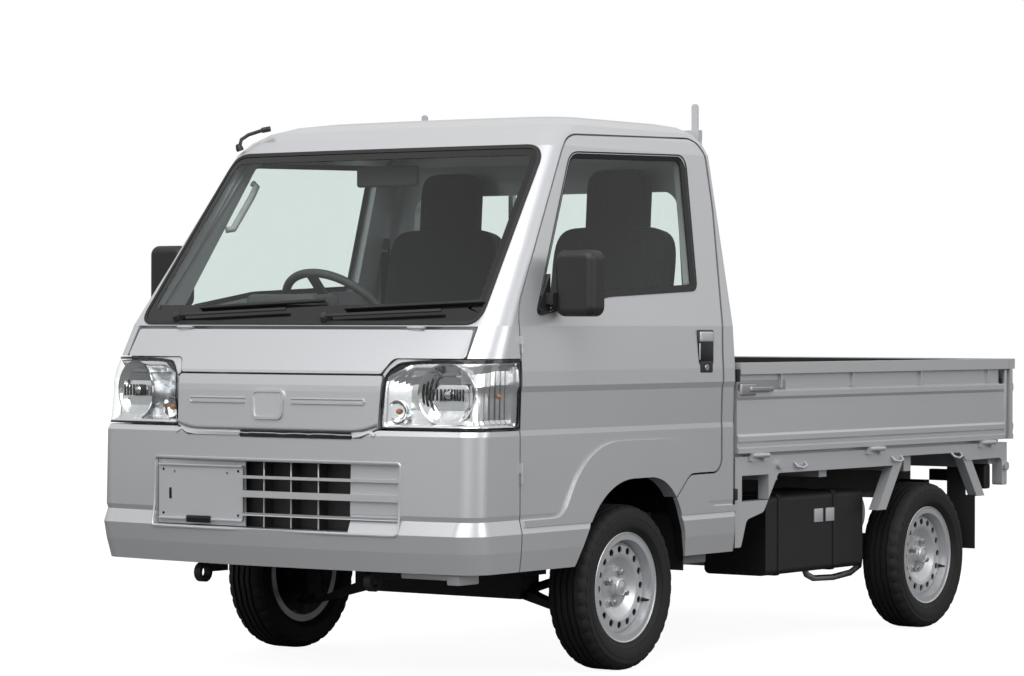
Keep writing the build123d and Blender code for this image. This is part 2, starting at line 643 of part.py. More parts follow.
def make_bed():
    """Bed floor on its cross-members, side frames, front board and cab guard."""
    under = BED_FLOOR_Z - BED_FLOOR_THICKNESS
    edge = SIDE_FRAME_X - SIDE_FRAME_THICKNESS
    floor = box(-edge, edge, BED_FRONT_Y + 5, BED_REAR_Y, under, BED_FLOOR_Z)
    floor = floor + box(-BED_HALF_WIDTH, BED_HALF_WIDTH, BED_FRONT_Y + 5, BED_REAR_Y, 640, BED_FLOOR_Z)
    pitch = 2 * (BED_HALF_WIDTH - 60) / (BED_RIB_COUNT - 1)
    for index in range(BED_RIB_COUNT):
        x = -BED_HALF_WIDTH + 60 + index * pitch
        rib = box(x - BED_RIB_WIDTH / 2, x + BED_RIB_WIDTH / 2, BOARD_Y + 28, BED_REAR_Y - 12,
                  BED_FLOOR_Z - 1, BED_FLOOR_Z + BED_RIB_HEIGHT)
        top = rib.faces().sort_by(Axis.Z)[-1]
        floor = floor + chamfer(top.edges(), BED_RIB_HEIGHT - 2)
    for y in CROSSMEMBERS_Y:
        floor = floor + box(-edge, edge, y - 25, y + 25, RAIL_TOP_Z, under + 1)
    floor = floor + box(-edge, edge, 3302, BED_REAR_Y + 8, 560, under + 1)
    save(floor, "bed_floor")

    frames = []
    for _, s in SIDES:
        inner = s * edge
        outer = s * SIDE_FRAME_X
        frame = side_prism(SIDE_FRAME_OUTLINE, inner, outer)
        (y0, z0), (y1, z1) = BRACKET_HOLE
        frame = frame - box(s * 600, s * 800, y0, y1, z0, z1)
        for start, end in BRACES:
            frame = frame + side_prism(brace_outline(start, end), inner, s * (SIDE_FRAME_X - 5))
        for y in LUG_CENTRES:
            for gap_side in (1, -1):
                y_in = y + gap_side * (HINGE_LENGTH / 2 + SEAT_GAP)
                y_out = y_in + gap_side * 26
                lug = rod((s * HINGE_X, y_in, HINGE_Z), (s * HINGE_X, y_out, HINGE_Z), HINGE_RADIUS)
                foot = box(s * (SIDE_FRAME_X - 6), s * HINGE_X, y_in, y_out, HINGE_Z - 16, HINGE_Z - 3)
                frame = frame + lug + foot
        for y, z in BUFFERS:
            frame = frame + rod((s * (SIDE_FRAME_X - 5), y, z), (s * (SIDE_FRAME_X + 12), y, z), 16)
        frames.append(frame)
    save(Compound(frames), "bed_side_frames")

    board = box(-BED_HALF_WIDTH + 5, BED_HALF_WIDTH - 5, BOARD_Y, BOARD_Y + 22, BED_FLOOR_Z, GATE_TOP_Z)
    save(board, "bed_front_board")
    guard = box(-GUARD_X - 18, GUARD_X + 18, BOARD_Y, BOARD_Y + 22, 1668, 1700)
    guard = guard + box(-GUARD_X - 18, GUARD_X + 18, BOARD_Y, BOARD_Y + 22, GATE_TOP_Z, GATE_TOP_Z + 30)
    for x in (-GUARD_X, -GUARD_X / 3, GUARD_X / 3, GUARD_X):
        half = 18 if abs(x) == GUARD_X else 9
        guard = guard + box(x - half, x + half, BOARD_Y + 2, BOARD_Y + 20, GATE_TOP_Z + 10, 1690)
    for s in (1, -1):
        tab = box(s * GUARD_X - 12, s * GUARD_X + 12, BOARD_Y + 4, BOARD_Y + 10, 1690, 1785)
        tab = fillet(tab.edges().filter_by(Axis.Y).sort_by(Axis.Z)[-2:], 10)
        guard = guard + tab
    save(guard, "cab_guard")


def brace_outline(start, end):
    """Slanted strip, wide along the truck, between two points of the side view."""
    half = BRACE_WIDTH / 2
    (y0, z0), (y1, z1) = start, end
    return ((y0 - half, z0, 0), (y0 + half, z0, 0), (y1 + half, z1, 0), (y1 - half, z1, 0))


def gate_outline():
    """Section of a gate, from the inner face round to the outer one and the top rail."""
    outer = [(-depth, z) for z, depth in GATE_STEPS]
    rail_out = 10.5
    points = [(-GATE_THICKNESS, GATE_LOW_Z)] + outer
    points += [(rail_out, GATE_TOP_Z - GATE_RAIL_HEIGHT), (rail_out, GATE_TOP_Z)]
    points += [(rail_out - GATE_RAIL_DEPTH, GATE_TOP_Z)]
    points += [(rail_out - GATE_RAIL_DEPTH, GATE_TOP_Z - GATE_RAIL_HEIGHT)]
    points += [(-GATE_THICKNESS, GATE_TOP_Z - GATE_RAIL_HEIGHT)]
    return points


def make_gates():
    """Two side gates and the tailgate, each with its hinge barrels."""
    section = gate_outline()
    for side, s in SIDES:
        points = [(s * (GATE_FACE_X + depth), 0, z) for depth, z in section]
        face = make_face(Polyline(*points, close=True))
        length = SIDE_GATE_REAR_Y - SIDE_GATE_FRONT_Y
        gate = Pos(0, SIDE_GATE_FRONT_Y, 0) * extrude(face, amount=length, dir=(0, 1, 0))
        for y in LUG_CENTRES:
            half = HINGE_LENGTH / 2
            gate = gate + rod((s * HINGE_X, y - half, HINGE_Z), (s * HINGE_X, y + half, HINGE_Z), HINGE_RADIUS)
            gate = gate + box(s * (HINGE_X - 12), s * (HINGE_X - 2), y - half, y + half, HINGE_Z, GATE_LOW_Z + 4)
        for y in GATE_TABS_Y:
            gate = gate + box(s * (GATE_FACE_X - 8), s * (GATE_FACE_X + 4), y - 4, y + 4, 862, 910)
        save(gate, f"gate_{side}")
    points = [(0, TAILGATE_FACE_Y + depth, z) for depth, z in section]
    face = make_face(Polyline(*points, close=True))
    gate = Pos(-TAILGATE_HALF_WIDTH, 0, 0) * extrude(face, amount=2 * TAILGATE_HALF_WIDTH, dir=(1, 0, 0))
    for x in TAIL_LUG_CENTRES:
        half = HINGE_LENGTH / 2
        gate = gate + rod((x - half, TAIL_HINGE_Y, HINGE_Z), (x + half, TAIL_HINGE_Y, HINGE_Z), HINGE_RADIUS)
        gate = gate + box(x - half, x + half, TAIL_HINGE_Y - 12, TAIL_HINGE_Y - 2, HINGE_Z, GATE_LOW_Z + 4)
    save(gate, "tailgate")
    brackets = []
    for x in TAIL_LUG_CENTRES:
        for gap_side in (1, -1):
            x_in = x + gap_side * (HINGE_LENGTH / 2 + SEAT_GAP)
            x_out = x_in + gap_side * 26
            lug = rod((x_in, TAIL_HINGE_Y, HINGE_Z), (x_out, TAIL_HINGE_Y, HINGE_Z), HINGE_RADIUS)
            brackets.append(lug + box(x_in, x_out, BED_REAR_Y + 8, TAIL_HINGE_Y, HINGE_Z - 16, HINGE_Z - 3))
    save(Compound(brackets), "tailgate_hinges")


def make_chassis():
    """Ladder frame, engine, tank, exhaust and running gear that doesn't steer."""
    frame = None
    for _, s in SIDES:
        x0, x1 = s * (RAIL_X - RAIL_WIDTH / 2), s * (RAIL_X + RAIL_WIDTH / 2)
        outline = (
            (120, FRONT_RAIL_Z, 0), (1330, FRONT_RAIL_Z, 150), (1470, REAR_RAIL_Z, 150),
            (3290, REAR_RAIL_Z, 0), (3290, RAIL_TOP_Z, 0), (1440, RAIL_TOP_Z, 150),
            (1300, FRONT_RAIL_Z + RAIL_HEIGHT, 150), (120, FRONT_RAIL_Z + RAIL_HEIGHT, 0),
        )
        rail = side_prism(outline, x0, x1)
        frame = rail if frame is None else frame + rail
    for y, z in ((150, FRONT_RAIL_Z + 20), (560, FRONT_RAIL_Z + 20), (1250, FRONT_RAIL_Z + 20),
                 (1620, REAR_RAIL_Z + 15), (2090, REAR_RAIL_Z + 15), (3000, REAR_RAIL_Z + 15)):
        frame = frame + box(-RAIL_X, RAIL_X, y - 30, y + 30, z, z + 60)
    for y in CAB_MOUNTS_Y:
        top = FLOOR_Z - FLOOR_SHEET if y < SEAT_FLOOR_Y else SEAT_FLOOR_Z - 25
        for _, s in SIDES:
            frame = frame + rod((s * RAIL_X, y, FRONT_RAIL_Z + 50), (s * RAIL_X, y, top), 24)
    inner = RAIL_X - RAIL_WIDTH / 2
    for _, s in SIDES:
        frame = frame + box(s * ENGINE_HALF_WIDTH, s * (inner + 5), 2380, 2440, 475, 510)
    save(frame, "chassis_frame")

    engine = box(-ENGINE_HALF_WIDTH, ENGINE_HALF_WIDTH, 2180, 2640, 230, 530)
    engine = engine + box(-150, 150, 2630, 2860, 215, 420)
    save(engine, "engine_block")

    outer = RAIL_X + RAIL_WIDTH / 2
    tank = box(400, 640, 1810, 2360, 235, 500)
    tank = tank + box(480, 640, 2350, 2450, 235, 500)
    tank = fillet(tank.edges().filter_by(Axis.Y), 20)
    for y in (1900, 2260):
        tank = tank + box(outer, 410, y - 20, y + 20, 466, 492)
    save(tank, "fuel_tank")
    battery = box(-620, -410, 1820, 2080, 300, 500)
    battery = battery + box(-outer, -415, 1900, 1980, 466, 492)
    save(battery, "battery_box")

    muffler = rod((-250, 3140, 372), (210, 3140, 372), 76)
    muffler = muffler + rod((-200, 3140, 340), (-200, 3330, 330), 18)
    muffler = muffler + rod((198, 2641, 330), (198, 3110, 350), 18)
    for x in (-180, 150):
        muffler = muffler + box(x - 12, x + 12, 3130, 3150, 440, RAIL_TOP_Z)
    save(muffler, "exhaust")

    front = box(-330, 330, 850, 950, 205, 285)
    for _, s in SIDES:
        front = front + box(s * 302, s * 358, 850, 950, 280, FRONT_RAIL_Z)
        arm = front_prism([(s * x, z, r) for x, z, r in ARM_OUTLINE], FRONT_AXLE_Y - 22, FRONT_AXLE_Y + 22)
        joint_x = s * KINGPIN_LOW[0]
        front = front + arm + rod((joint_x, 900, 147), (joint_x, 900, STUD_LOW_Z - STUD_RADIUS / 6), 20)
        front = front + rod((s * 330, 915, 235), (s * 420, 1180, 300), 14)
        front = front + box(s * 360, s * 425, 1165, 1195, 290, 380)
    save(front, "front_suspension")

    springs = []
    for _, s in SIDES:
        spring = side_prism(SPRING_OUTLINE, s * 415, s * 465)
        for y in (2392, 3226):
            spring = spring + box(s * outer, s * 465, y - 16, y + 16, 396, 500)
        springs.append(spring)
    save(Compound(springs), "leaf_springs")

    hub_x = REAR_TRACK / 2 - WHEEL_BOSS_INSET - SEAT_GAP
    axle = rod((-400, 2925, TYRE_RADIUS), (400, 2925, TYRE_RADIUS), 34)
    for _, s in SIDES:
        axle = axle + rod((s * 380, 2930, TYRE_RADIUS), (s * 522, REAR_AXLE_Y, TYRE_RADIUS), 38)
        axle = axle + rod((s * 505, REAR_AXLE_Y, TYRE_RADIUS), (s * 560, REAR_AXLE_Y, TYRE_RADIUS), 60)
        axle = axle + rod((s * 555, REAR_AXLE_Y, TYRE_RADIUS), (s * hub_x, REAR_AXLE_Y, TYRE_RADIUS), 105)
        axle = axle + rod((s * (150 + SEAT_GAP), REAR_AXLE_Y, 300), (s * 182, REAR_AXLE_Y, 300), 28)
        axle = axle + rod((s * 170, REAR_AXLE_Y, 300), (s * 530, REAR_AXLE_Y, 262), 16)
    save(axle, "rear_axle")


def make_wheels():
    """Tyres, pressed rims and the two steered knuckles."""
    tyre_profile = (
        (-49.5, 153.0), (49.5, 153.0), (49.5, 171.0), (60, 178), (72.5, 206), (70, 236),
        (56, 252), (36, TYRE_RADIUS), (-36, TYRE_RADIUS), (-56, 252), (-70, 236), (-72.5, 206),
        (-60, 178), (-49.5, 171.0),
    )
    half = RIM_WIDTH / 2
    disc_x = 24.0
    rim_profile = (
        (-half, RIM_RADIUS), (-half, BARREL_RADIUS - RIM_WALL), (-8, BARREL_RADIUS - RIM_WALL - 8),
        (disc_x - 14, 139), (disc_x + 3, 129), (disc_x + 4, 104), (disc_x + 2, 96), (disc_x - 16, 66),
        (disc_x - 16, WHEEL_BOSS_RADIUS), (-WHEEL_BOSS_INSET, WHEEL_BOSS_RADIUS), (-WHEEL_BOSS_INSET, 0),
        (disc_x + 14, 0), (disc_x + 14, 26), (disc_x - 8, 34), (disc_x - 8, 64), (disc_x + 7, 94),
        (disc_x + 9, 104), (disc_x + 8, 130), (disc_x - 6, 143.5), (half, BARREL_RADIUS - RIM_WALL),
        (half, RIM_RADIUS), (half - RIM_WALL, RIM_RADIUS), (half - RIM_WALL, BARREL_RADIUS),
        (-half + RIM_WALL, BARREL_RADIUS), (-half + RIM_WALL, RIM_RADIUS),
    )
    for end, y, track in (("front", FRONT_AXLE_Y, FRONT_TRACK), ("rear", REAR_AXLE_Y, REAR_TRACK)):
        for side, s in SIDES:
            centre = (s * track / 2, y, TYRE_RADIUS)
            for name, profile in (("tyre", tyre_profile), ("rim", rim_profile)):
                face = make_face(Polyline(*[(x * s, r, 0) for x, r in profile], close=True))
                ring = revolve(face, axis=Axis.X)
                if name == "rim":
                    for index in range(WHEEL_HOLES):
                        turn = 360 / WHEEL_HOLES * index
                        place = WHEEL_HOLE_CIRCLE
                        hole = rod((-20 * s, 0, place), (60 * s, 0, place), WHEEL_HOLE_RADIUS)
                        ring = ring - Rot(turn, 0, 0) * hole
                save(Pos(*centre) * ring, f"{name}_{end}_{side}")
    for side, s in SIDES:
        wheel_x = FRONT_TRACK / 2
        inner = wheel_x - WHEEL_BOSS_INSET - SEAT_GAP
        knuckle = box(s * 540, s * 592, 862, 938, KNUCKLE_LOW_Z, 352)
        knuckle = knuckle + rod(kingpin_point(s, STUD_LOW_Z), kingpin_point(s, KNUCKLE_LOW_Z + 20), STUD_RADIUS)
        knuckle = knuckle + rod((s * 590, 900, TYRE_RADIUS), (s * inner, 900, TYRE_RADIUS), KNUCKLE_DRUM_RADIUS)
        knuckle = knuckle + rod(kingpin_point(s, 300), kingpin_point(s, WELL_TOP_Z - 8), STRUT_RADIUS)
        coil = rod(kingpin_point(s, 528), kingpin_point(s, WELL_TOP_Z - 8), COIL_RADIUS)
        knuckle = knuckle + coil
        knuckle = knuckle + box(s * 500, s * 550, 895, 1000, 262, 280)
        save(knuckle, f"knuckle_{side}")


def kingpin_point(s, z):
    """Point on the steering axis at a height."""
    share = (z - KINGPIN_LOW[1]) / (KINGPIN_HIGH[1] - KINGPIN_LOW[1])
    x = KINGPIN_LOW[0] + share * (KINGPIN_HIGH[0] - KINGPIN_LOW[0])
    return (s * x, FRONT_AXLE_Y, z)


def make_fittings():
    """Rear lamps and plate bracket, mud flaps and tow eyes."""
    lamps = [box(s * 520, s * 655, 3318, 3366, 468, 560) for _, s in SIDES]
    save(Compound(lamps), "tail_lamps")
    plate = box(-190, 190, 3352, 3356, 420, 560)
    for s in (1, -1):
        x = s * PLATE_HOLE_SPACING / 2
        plate = plate - rod((x, 3300, 520), (x, 3400, 520), PLATE_HOLE_RADIUS)
    save(plate, "rear_plate_bracket")
    flaps = []
    for _, s in SIDES:
        flap = box(s * 600, s * 712, 3128, 3134, 262, 455) + box(s * 600, s * 674, 3128, 3134, 454, RAIL_TOP_Z)
        flaps.append(flap)
        flaps.append(box(s * 570, s * 690, WELL_REAR_Y + 12, WELL_REAR_Y + 18, 290, 470))
    save(Compound(flaps), "mud_flaps")
    hooks = []
    for _, s in SIDES:
        eye = (s * RAIL_X, TOW_EYE_Y, TOW_EYE_Z)
        hook = rod((eye[0] - 12, eye[1], eye[2]), (eye[0] + 12, eye[1], eye[2]), 30)
        hook = hook + box(eye[0] - 12, eye[0] + 12, TOW_EYE_Y + 22, 200, TOW_EYE_Z, FRONT_RAIL_Z)
        hook = hook - rod((eye[0] - 30, eye[1], eye[2]), (eye[0] + 30, eye[1], eye[2]), TOW_EYE_RADIUS)
        hooks.append(hook)
    save(Compound(hooks), "tow_hooks")


os.makedirs("parts", exist_ok=True)
cabin = make_cab()
make_cabin(cabin)
make_bed()
make_gates()
make_chassis()
make_wheels()
make_fittings()
print(len(written), "pieces")
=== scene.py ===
"""Looks of the small cab-over truck: finishes, lamps, trim, tyres, seats and small fittings.

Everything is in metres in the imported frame: x is the truck's left, z is up, and the front faces -Y.
Places along the truck are written as distances behind the foremost point of the bumper.
"""
import json
from math import cos, exp, pi, radians, sin, tan

import bmesh
import bpy
from mathutils import Matrix, Vector
from mathutils.bvhtree import BVHTree


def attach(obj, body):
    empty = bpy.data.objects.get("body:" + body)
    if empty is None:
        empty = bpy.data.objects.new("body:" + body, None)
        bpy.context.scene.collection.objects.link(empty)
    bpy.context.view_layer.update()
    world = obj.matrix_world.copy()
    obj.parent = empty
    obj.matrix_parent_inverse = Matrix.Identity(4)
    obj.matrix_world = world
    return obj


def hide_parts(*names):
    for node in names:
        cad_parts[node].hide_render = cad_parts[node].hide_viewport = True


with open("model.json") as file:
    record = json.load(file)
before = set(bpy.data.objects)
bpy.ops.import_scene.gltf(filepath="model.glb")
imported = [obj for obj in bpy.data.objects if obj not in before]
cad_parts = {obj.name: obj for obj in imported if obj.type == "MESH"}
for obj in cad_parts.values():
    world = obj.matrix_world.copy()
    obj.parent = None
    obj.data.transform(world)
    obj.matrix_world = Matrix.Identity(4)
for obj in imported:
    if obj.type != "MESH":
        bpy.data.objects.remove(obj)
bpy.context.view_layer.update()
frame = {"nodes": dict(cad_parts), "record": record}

NODES = frame["nodes"]
FRONT = 1.6975
FORWARD = (0, -1, 0)
SIDES = (("left", 1), ("right", -1))

# Camera, fitted to the photograph
CAMERA_PLACE = (6.6785, -9.7378, 1.0747)
CAMERA_YAW = 35.68
CAMERA_PITCH = -0.26
CAMERA_ROLL = 0.0019
CAMERA_LENS = 122.45

# Floor, surround and lamps: name, place, target, size, power
FLOOR_GLOW = 0.93
FLOOR_REACH = 40
MIRRORED_WHITE = 0.3
LAMPS = (("overhead", (1.5, -4.2, 4.8), (0, -0.6, 0.9), (6, 4), 215),
         ("front_fill", (3.5, -8.5, 3.4), (0, -0.5, 0.8), (5, 3), 85),
         ("side_fill", (8.0, 0.5, 3.0), (0, 0.3, 0.8), (5, 3), 135))

# Wheels
TYRE_RADIUS = 0.256
TREAD_STEPS = 144
TREAD_NOTCH = 0.005
LIP_STEPS = 96
NUT_COUNT = 4
NUT_CIRCLE = 0.05
WHEELS = (("front_left", 0.6375, 0.9), ("front_right", -0.6375, 0.9),
          ("rear_left", 0.645, 2.8), ("rear_right", -0.645, 2.8))

# Slot and grille in the bumper, and the plate bracket's face
SLOT_ENDS = (-0.117, 0.302)
SLOT_Z = 0.7385
SLOT_UPRIGHTS = (-0.022, 0.085, 0.19)
GRILLE_UPRIGHTS = (-0.04, 0.065, 0.17)
BRACKET_Y = 0.034

# Headlamps: hub in plan from which the rounded corners of the cab are laid out, the bottom line,
# the share of the housing that lies at the side, and pairs of places (x, z), the first on the lid's
# notched corner and the second on the lamp's edge
LAMP_HUB = (0.45, 0.45)
LAMP_FOOT_Z = 0.763
LAMP_SIDE_SHARE = 0.6
LID_CLEARANCE = 0.0038
LAMP_CORNER = (((0.39, 0.9215), (0.405, 0.91)), ((0.3925, 0.929), (0.4095, 0.9225)),
               ((0.3965, 0.939), (0.418, 0.934)), ((0.403, 0.949), (0.4275, 0.943)),
               ((0.41, 0.959), (0.436, 0.949)), ((0.418, 0.968), (0.447, 0.953)),
               ((0.44, 0.969), (0.47, 0.9555)), ((0.49, 0.969), (0.5, 0.9575)),
               ((0.54, 0.969), (0.54, 0.959)))

# Bed: inner faces of the gates and places of the rope hooks
GATE_INNER = 0.699
TAILGATE_INNER = 3.3565
ROPE_HOOKS = (1.9, 2.55, 2.98)


def at(x, front, z):
    """Point from its distance behind the foremost point of the bumper."""
    return Vector((x, front - FRONT, z))


# Materials

GLASS_IOR = 1.5


def new_material(name):
    """New material, its node tree and its Principled shader."""
    material = bpy.data.materials.new(name)
    material.use_nodes = True
    return material, material.node_tree, material.node_tree.nodes["Principled BSDF"]


def fill(tree, node, sockets):
    """Inputs of a node set to numbers and colours, or linked to other nodes' sockets."""
    for socket, value in sockets.items():
        if isinstance(value, bpy.types.NodeSocket):
            tree.links.new(value, node.inputs[socket])
        else:
            node.inputs[socket].default_value = value


def new_node(tree, kind, sockets):
    """New shader node with its inputs filled."""
    node = tree.nodes.new(f"ShaderNode{kind}")
    fill(tree, node, sockets)
    return node


def object_place(tree):
    """Object coordinates."""
    return tree.nodes.new("ShaderNodeTexCoord").outputs["Object"]


def noise(tree, scale, detail=3.0, roughness=0.5):
    """Noise texture in object space."""
    sockets = {"Scale": scale, "Detail": detail, "Roughness": roughness, "Vector": object_place(tree)}
    return new_node(tree, "TexNoise", sockets).outputs["Fac"]


def cells(tree, scale):
    """Cell texture in object space."""
    return new_node(tree, "TexVoronoi", {"Scale": scale, "Vector": object_place(tree)}).outputs["Distance"]


def ramp(tree, source, low, high):
    """Colour between two ends, driven by a factor."""
    node = tree.nodes.new("ShaderNodeMix")
    node.data_type = "RGBA"
    fill(tree, node, {0: source, 6: (*low, 1), 7: (*high, 1)})
    return node.outputs[2]


def spread(tree, source, low, high):
    """Number between two ends, driven by a factor."""
    return new_node(tree, "MapRange", {"To Min": low, "To Max": high, "Value": source}).outputs["Result"]


def maths(tree, operation, *values):
    """Result of a Math node."""
    node = tree.nodes.new("ShaderNodeMath")
    node.operation = operation
    fill(tree, node, dict(enumerate(values)))
    return node.outputs[0]


def bump(tree, shader, height, strength, distance):
    """Bump from a height, after any bump that the shader has already."""
    node = new_node(tree, "Bump", {"Strength": strength, "Distance": distance, "Height": height})
    if shader.inputs["Normal"].links:
        tree.links.new(shader.inputs["Normal"].links[0].from_socket, node.inputs["Normal"])
    tree.links.new(node.outputs["Normal"], shader.inputs["Normal"])


def metallic_paint(name, colour, metallic=0.55, roughness=0.36, coat=0.7):
    """Silver paint: fine flakes of slightly different tone and tilt under clear coat."""
    material, tree, shader = new_material(name)
    tone = ramp(tree, cells(tree, 900), colour, [c * 0.93 for c in colour])
    gloss = spread(tree, noise(tree, 3, 2), roughness - 0.03, roughness + 0.04)
    fill(tree, shader, {"Base Color": tone, "Roughness": gloss, "Metallic": metallic, "Coat Weight": coat,
                        "Coat Roughness": 0.04})
    bump(tree, shader, noise(tree, 140, 2), 0.05, 0.0004)
    return material


def plastic(name, colour, roughness, grain=600, depth=0.25):
    """Moulded plastic with a fine leathery grain and a little tone variation."""
    material, tree, shader = new_material(name)
    light = [min(1, c * 1.25 + 0.002) for c in colour]
    tone = ramp(tree, noise(tree, 9, 4), colour, light)
    gloss = spread(tree, noise(tree, 30, 4), roughness - 0.06, roughness + 0.06)
    fill(tree, shader, {"Base Color": tone, "Roughness": gloss})
    bump(tree, shader, cells(tree, grain), depth, 0.0006)
    return material


def metal(name, colour, roughness, scale=60, depth=0.1):
    """Bare or plated metal with fine uneven gloss."""
    material, tree, shader = new_material(name)
    tone = ramp(tree, noise(tree, 12, 5), colour, [c * 0.86 for c in colour])
    uneven = noise(tree, scale, 4, 0.6)
    gloss = spread(tree, uneven, roughness * 0.7, roughness * 1.4)
    fill(tree, shader, {"Base Color": tone, "Roughness": gloss, "Metallic": 1.0})
    bump(tree, shader, uneven, depth, 0.0005)
    return material


def fabric(name, colour, pitch=420.0):
    """Woven seat cloth: crossed threads with soft sheen and faint mottling."""
    material, tree, shader = new_material(name)
    waves = []
    for direction in ("X", "Z"):
        sockets = {"Scale": pitch, "Distortion": 0.6, "Vector": object_place(tree)}
        wave = new_node(tree, "TexWave", sockets)
        wave.bands_direction = direction
        waves.append(wave.outputs["Fac"])
    threads = maths(tree, "MAXIMUM", *waves)
    tone = ramp(tree, threads, colour, [c * 1.2 + 0.001 for c in colour])
    fill(tree, shader, {"Base Color": tone, "Roughness": 0.92, "Sheen Weight": 0.08})
    bump(tree, shader, threads, 0.04, 0.0003)
    bump(tree, shader, noise(tree, 18, 2), 0.1, 0.002)
    return material


def clear(name, tint, roughness=0.01):
    """Thin clear sheet: see-through straight on, mirror-like at a slant, with a faint tint."""
    material, tree, shader = new_material(name)
    fill(tree, shader, {"Base Color": (*tint, 1), "Roughness": roughness, "IOR": GLASS_IOR,
                        "Coat Weight": 0.3})
    light = [min(1.0, c * 1.03) for c in tint]
    through = new_node(tree, "BsdfTransparent", {"Color": ramp(tree, noise(tree, 2, 2), tint, light)})
    fresnel = new_node(tree, "Fresnel", {"IOR": GLASS_IOR})
    gloss = new_node(tree, "BsdfGlossy", {"Roughness": roughness})
    face = tree.nodes.new("ShaderNodeNewGeometry")
    outward = maths(tree, "SUBTRACT", 1.0, face.outputs["Backfacing"])
    share = maths(tree, "MULTIPLY", fresnel.outputs["Fac"], outward)
    mix = new_node(tree, "MixShader", {0: share, 1: through.outputs[0], 2: gloss.outputs[0]})
    fill(tree, tree.nodes["Material Output"], {"Surface": mix.outputs[0]})
    return material


SILVER = (0.6, 0.61, 0.63)
LOW_INNER_BLACK = (0.012, 0.012, 0.013)
MATERIALS = {
    "body_paint": metallic_paint("body_silver", SILVER),
    "bed_paint": metallic_paint("bed_silver", (0.57, 0.58, 0.6), 0.45, 0.42, 0.4),
    "wheel_steel": metallic_paint("wheel_silver", (0.64, 0.65, 0.67), 0.6, 0.32, 0.3),
    "bracket": metallic_paint("bracket_silver", (0.62, 0.63, 0.65), 0.5, 0.4, 0.3),
    "frame_black": plastic("underbody_black", (0.004, 0.004, 0.0043), 0.6, 300, 0.3),
    "black_plastic": plastic("grained_black", (0.013, 0.013, 0.0135), 0.5),
    "gloss_black": plastic("gloss_black", (0.006, 0.006, 0.007), 0.12, 900, 0.03),
    "interior": plastic("cabin_grey", (0.055, 0.056, 0.058), 0.62, 700, 0.4),
    "interior_light": plastic("headliner", (0.42, 0.43, 0.43), 0.85, 500, 0.4),
    "seat": fabric("seat_cloth", (0.01, 0.01, 0.011)),
    "rubber": plastic("black_rubber", (0.011, 0.011, 0.011), 0.72, 450, 0.3),
    "tyre": plastic("tyre_rubber", (0.004, 0.004, 0.0042), 0.72, 520, 0.35),
    "chrome": metal("plated_reflector", (0.86, 0.87, 0.88), 0.07, depth=0.02),
    "reflector": metal("lamp_reflector", (0.8, 0.81, 0.82), 0.22, depth=0.05),
    # Mid grey paint that stands in for shade: painted shade in a recess, under the sill and under the
    # garnish's lower edge.
    "bed_shadow": metallic_paint("latch_recess", (0.3, 0.31, 0.32), 0.4, 0.5, 0.2),
    "bare_steel": metal("galvanised_steel", (0.5, 0.5, 0.51), 0.38, 45),
    "engine": metal("cast_alloy", (0.33, 0.33, 0.34), 0.5, 90, 0.4),
    "glass": clear("window_glass", (0.9, 0.93, 0.92)),
    "lamp_cover": clear("lamp_clear", (0.97, 0.98, 0.98)),
    "mirror_face": metal("mirror_face", (0.8, 0.82, 0.83), 0.03, depth=0.0),
    "amber": plastic("amber_bulb", (0.36, 0.13, 0.05), 0.2, 300, 0.05),
    "red_lens": plastic("red_lens", (0.42, 0.008, 0.01), 0.12, 260, 0.3),
    "amber_lens": plastic("amber_lens", (0.75, 0.22, 0.02), 0.12, 260, 0.3),
    "white_lens": plastic("white_lens", (0.78, 0.79, 0.8), 0.12, 260, 0.3),
}


# Mesh helpers

def add(name, verts, faces, material, body, smooth=40.0):
    """New piece from points and faces, finished and riding on a body."""
    mesh = bpy.data.meshes.new(name)
    mesh.from_pydata([tuple(v) for v in verts], [], faces)
    mesh.validate()
    piece = bpy.data.objects.new(name, mesh)
    bpy.context.scene.collection.objects.link(piece)
    return finished(piece, material, body, smooth)


def finished(piece, material, body, smooth=40.0):
    """Normals out, smooth below an angle, material, slot and body."""
    mesh = piece.data
    work = bmesh.new()
    work.from_mesh(mesh)
    bmesh.ops.recalc_face_normals(work, faces=work.faces)
    work.to_mesh(mesh)
    work.free()
    mesh.shade_smooth()
    mesh.set_sharp_from_angle(angle=radians(smooth))
    mesh.materials.append(MATERIALS[material])
    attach(piece, body)
    return piece


def joined(name, parts, material, body="chassis", smooth=40.0):
    """One piece from several (points, faces) lists."""
    verts, faces = [], []
    for part_verts, part_faces in parts:
        base = len(verts)
        verts.extend(part_verts)
        faces.extend([[base + i for i in face] for face in part_faces])
    return add(name, verts, faces, material, body, smooth)


def block(low, high, radius=0.003, segments=2):
    """Block with rounded edges between two corners, as (points, faces)."""
    low, high = Vector(low), Vector(high)
    work = bmesh.new()
    bmesh.ops.create_cube(work, size=1)
    for vert in work.verts:
        vert.co = Vector([(low[i] + high[i]) / 2 + vert.co[i] * abs(high[i] - low[i]) for i in range(3)])
    limit = min(abs(high[i] - low[i]) for i in range(3)) * 0.49
    bmesh.ops.bevel(work, geom=work.edges[:], offset=min(radius, limit), segments=segments,
                    affect="EDGES", profile=0.6)
    work.verts.index_update()
    result = ([v.co.copy() for v in work.verts], [[v.index for v in f.verts] for f in work.faces])
    work.free()
    return result


def blocks(name, material, *boxes, body="chassis", s=1):
    """One piece from blocks on the side s: two corners each, then what block() takes after them."""
    parts = []
    for (x0, y0, z0), (x1, y1, z1), *edge in boxes:
        parts.append(block(at(s * x0, y0, z0), at(s * x1, y1, z1), *edge))
    return joined(name, parts, material, body)


def side_blocks(side, s, body, *rows):
    """Pieces of one side from rows of a name, a material and blocks."""
    for name, material, *boxes in rows:
        blocks(f"{name}_{side}", material, *boxes, body=body, s=s)


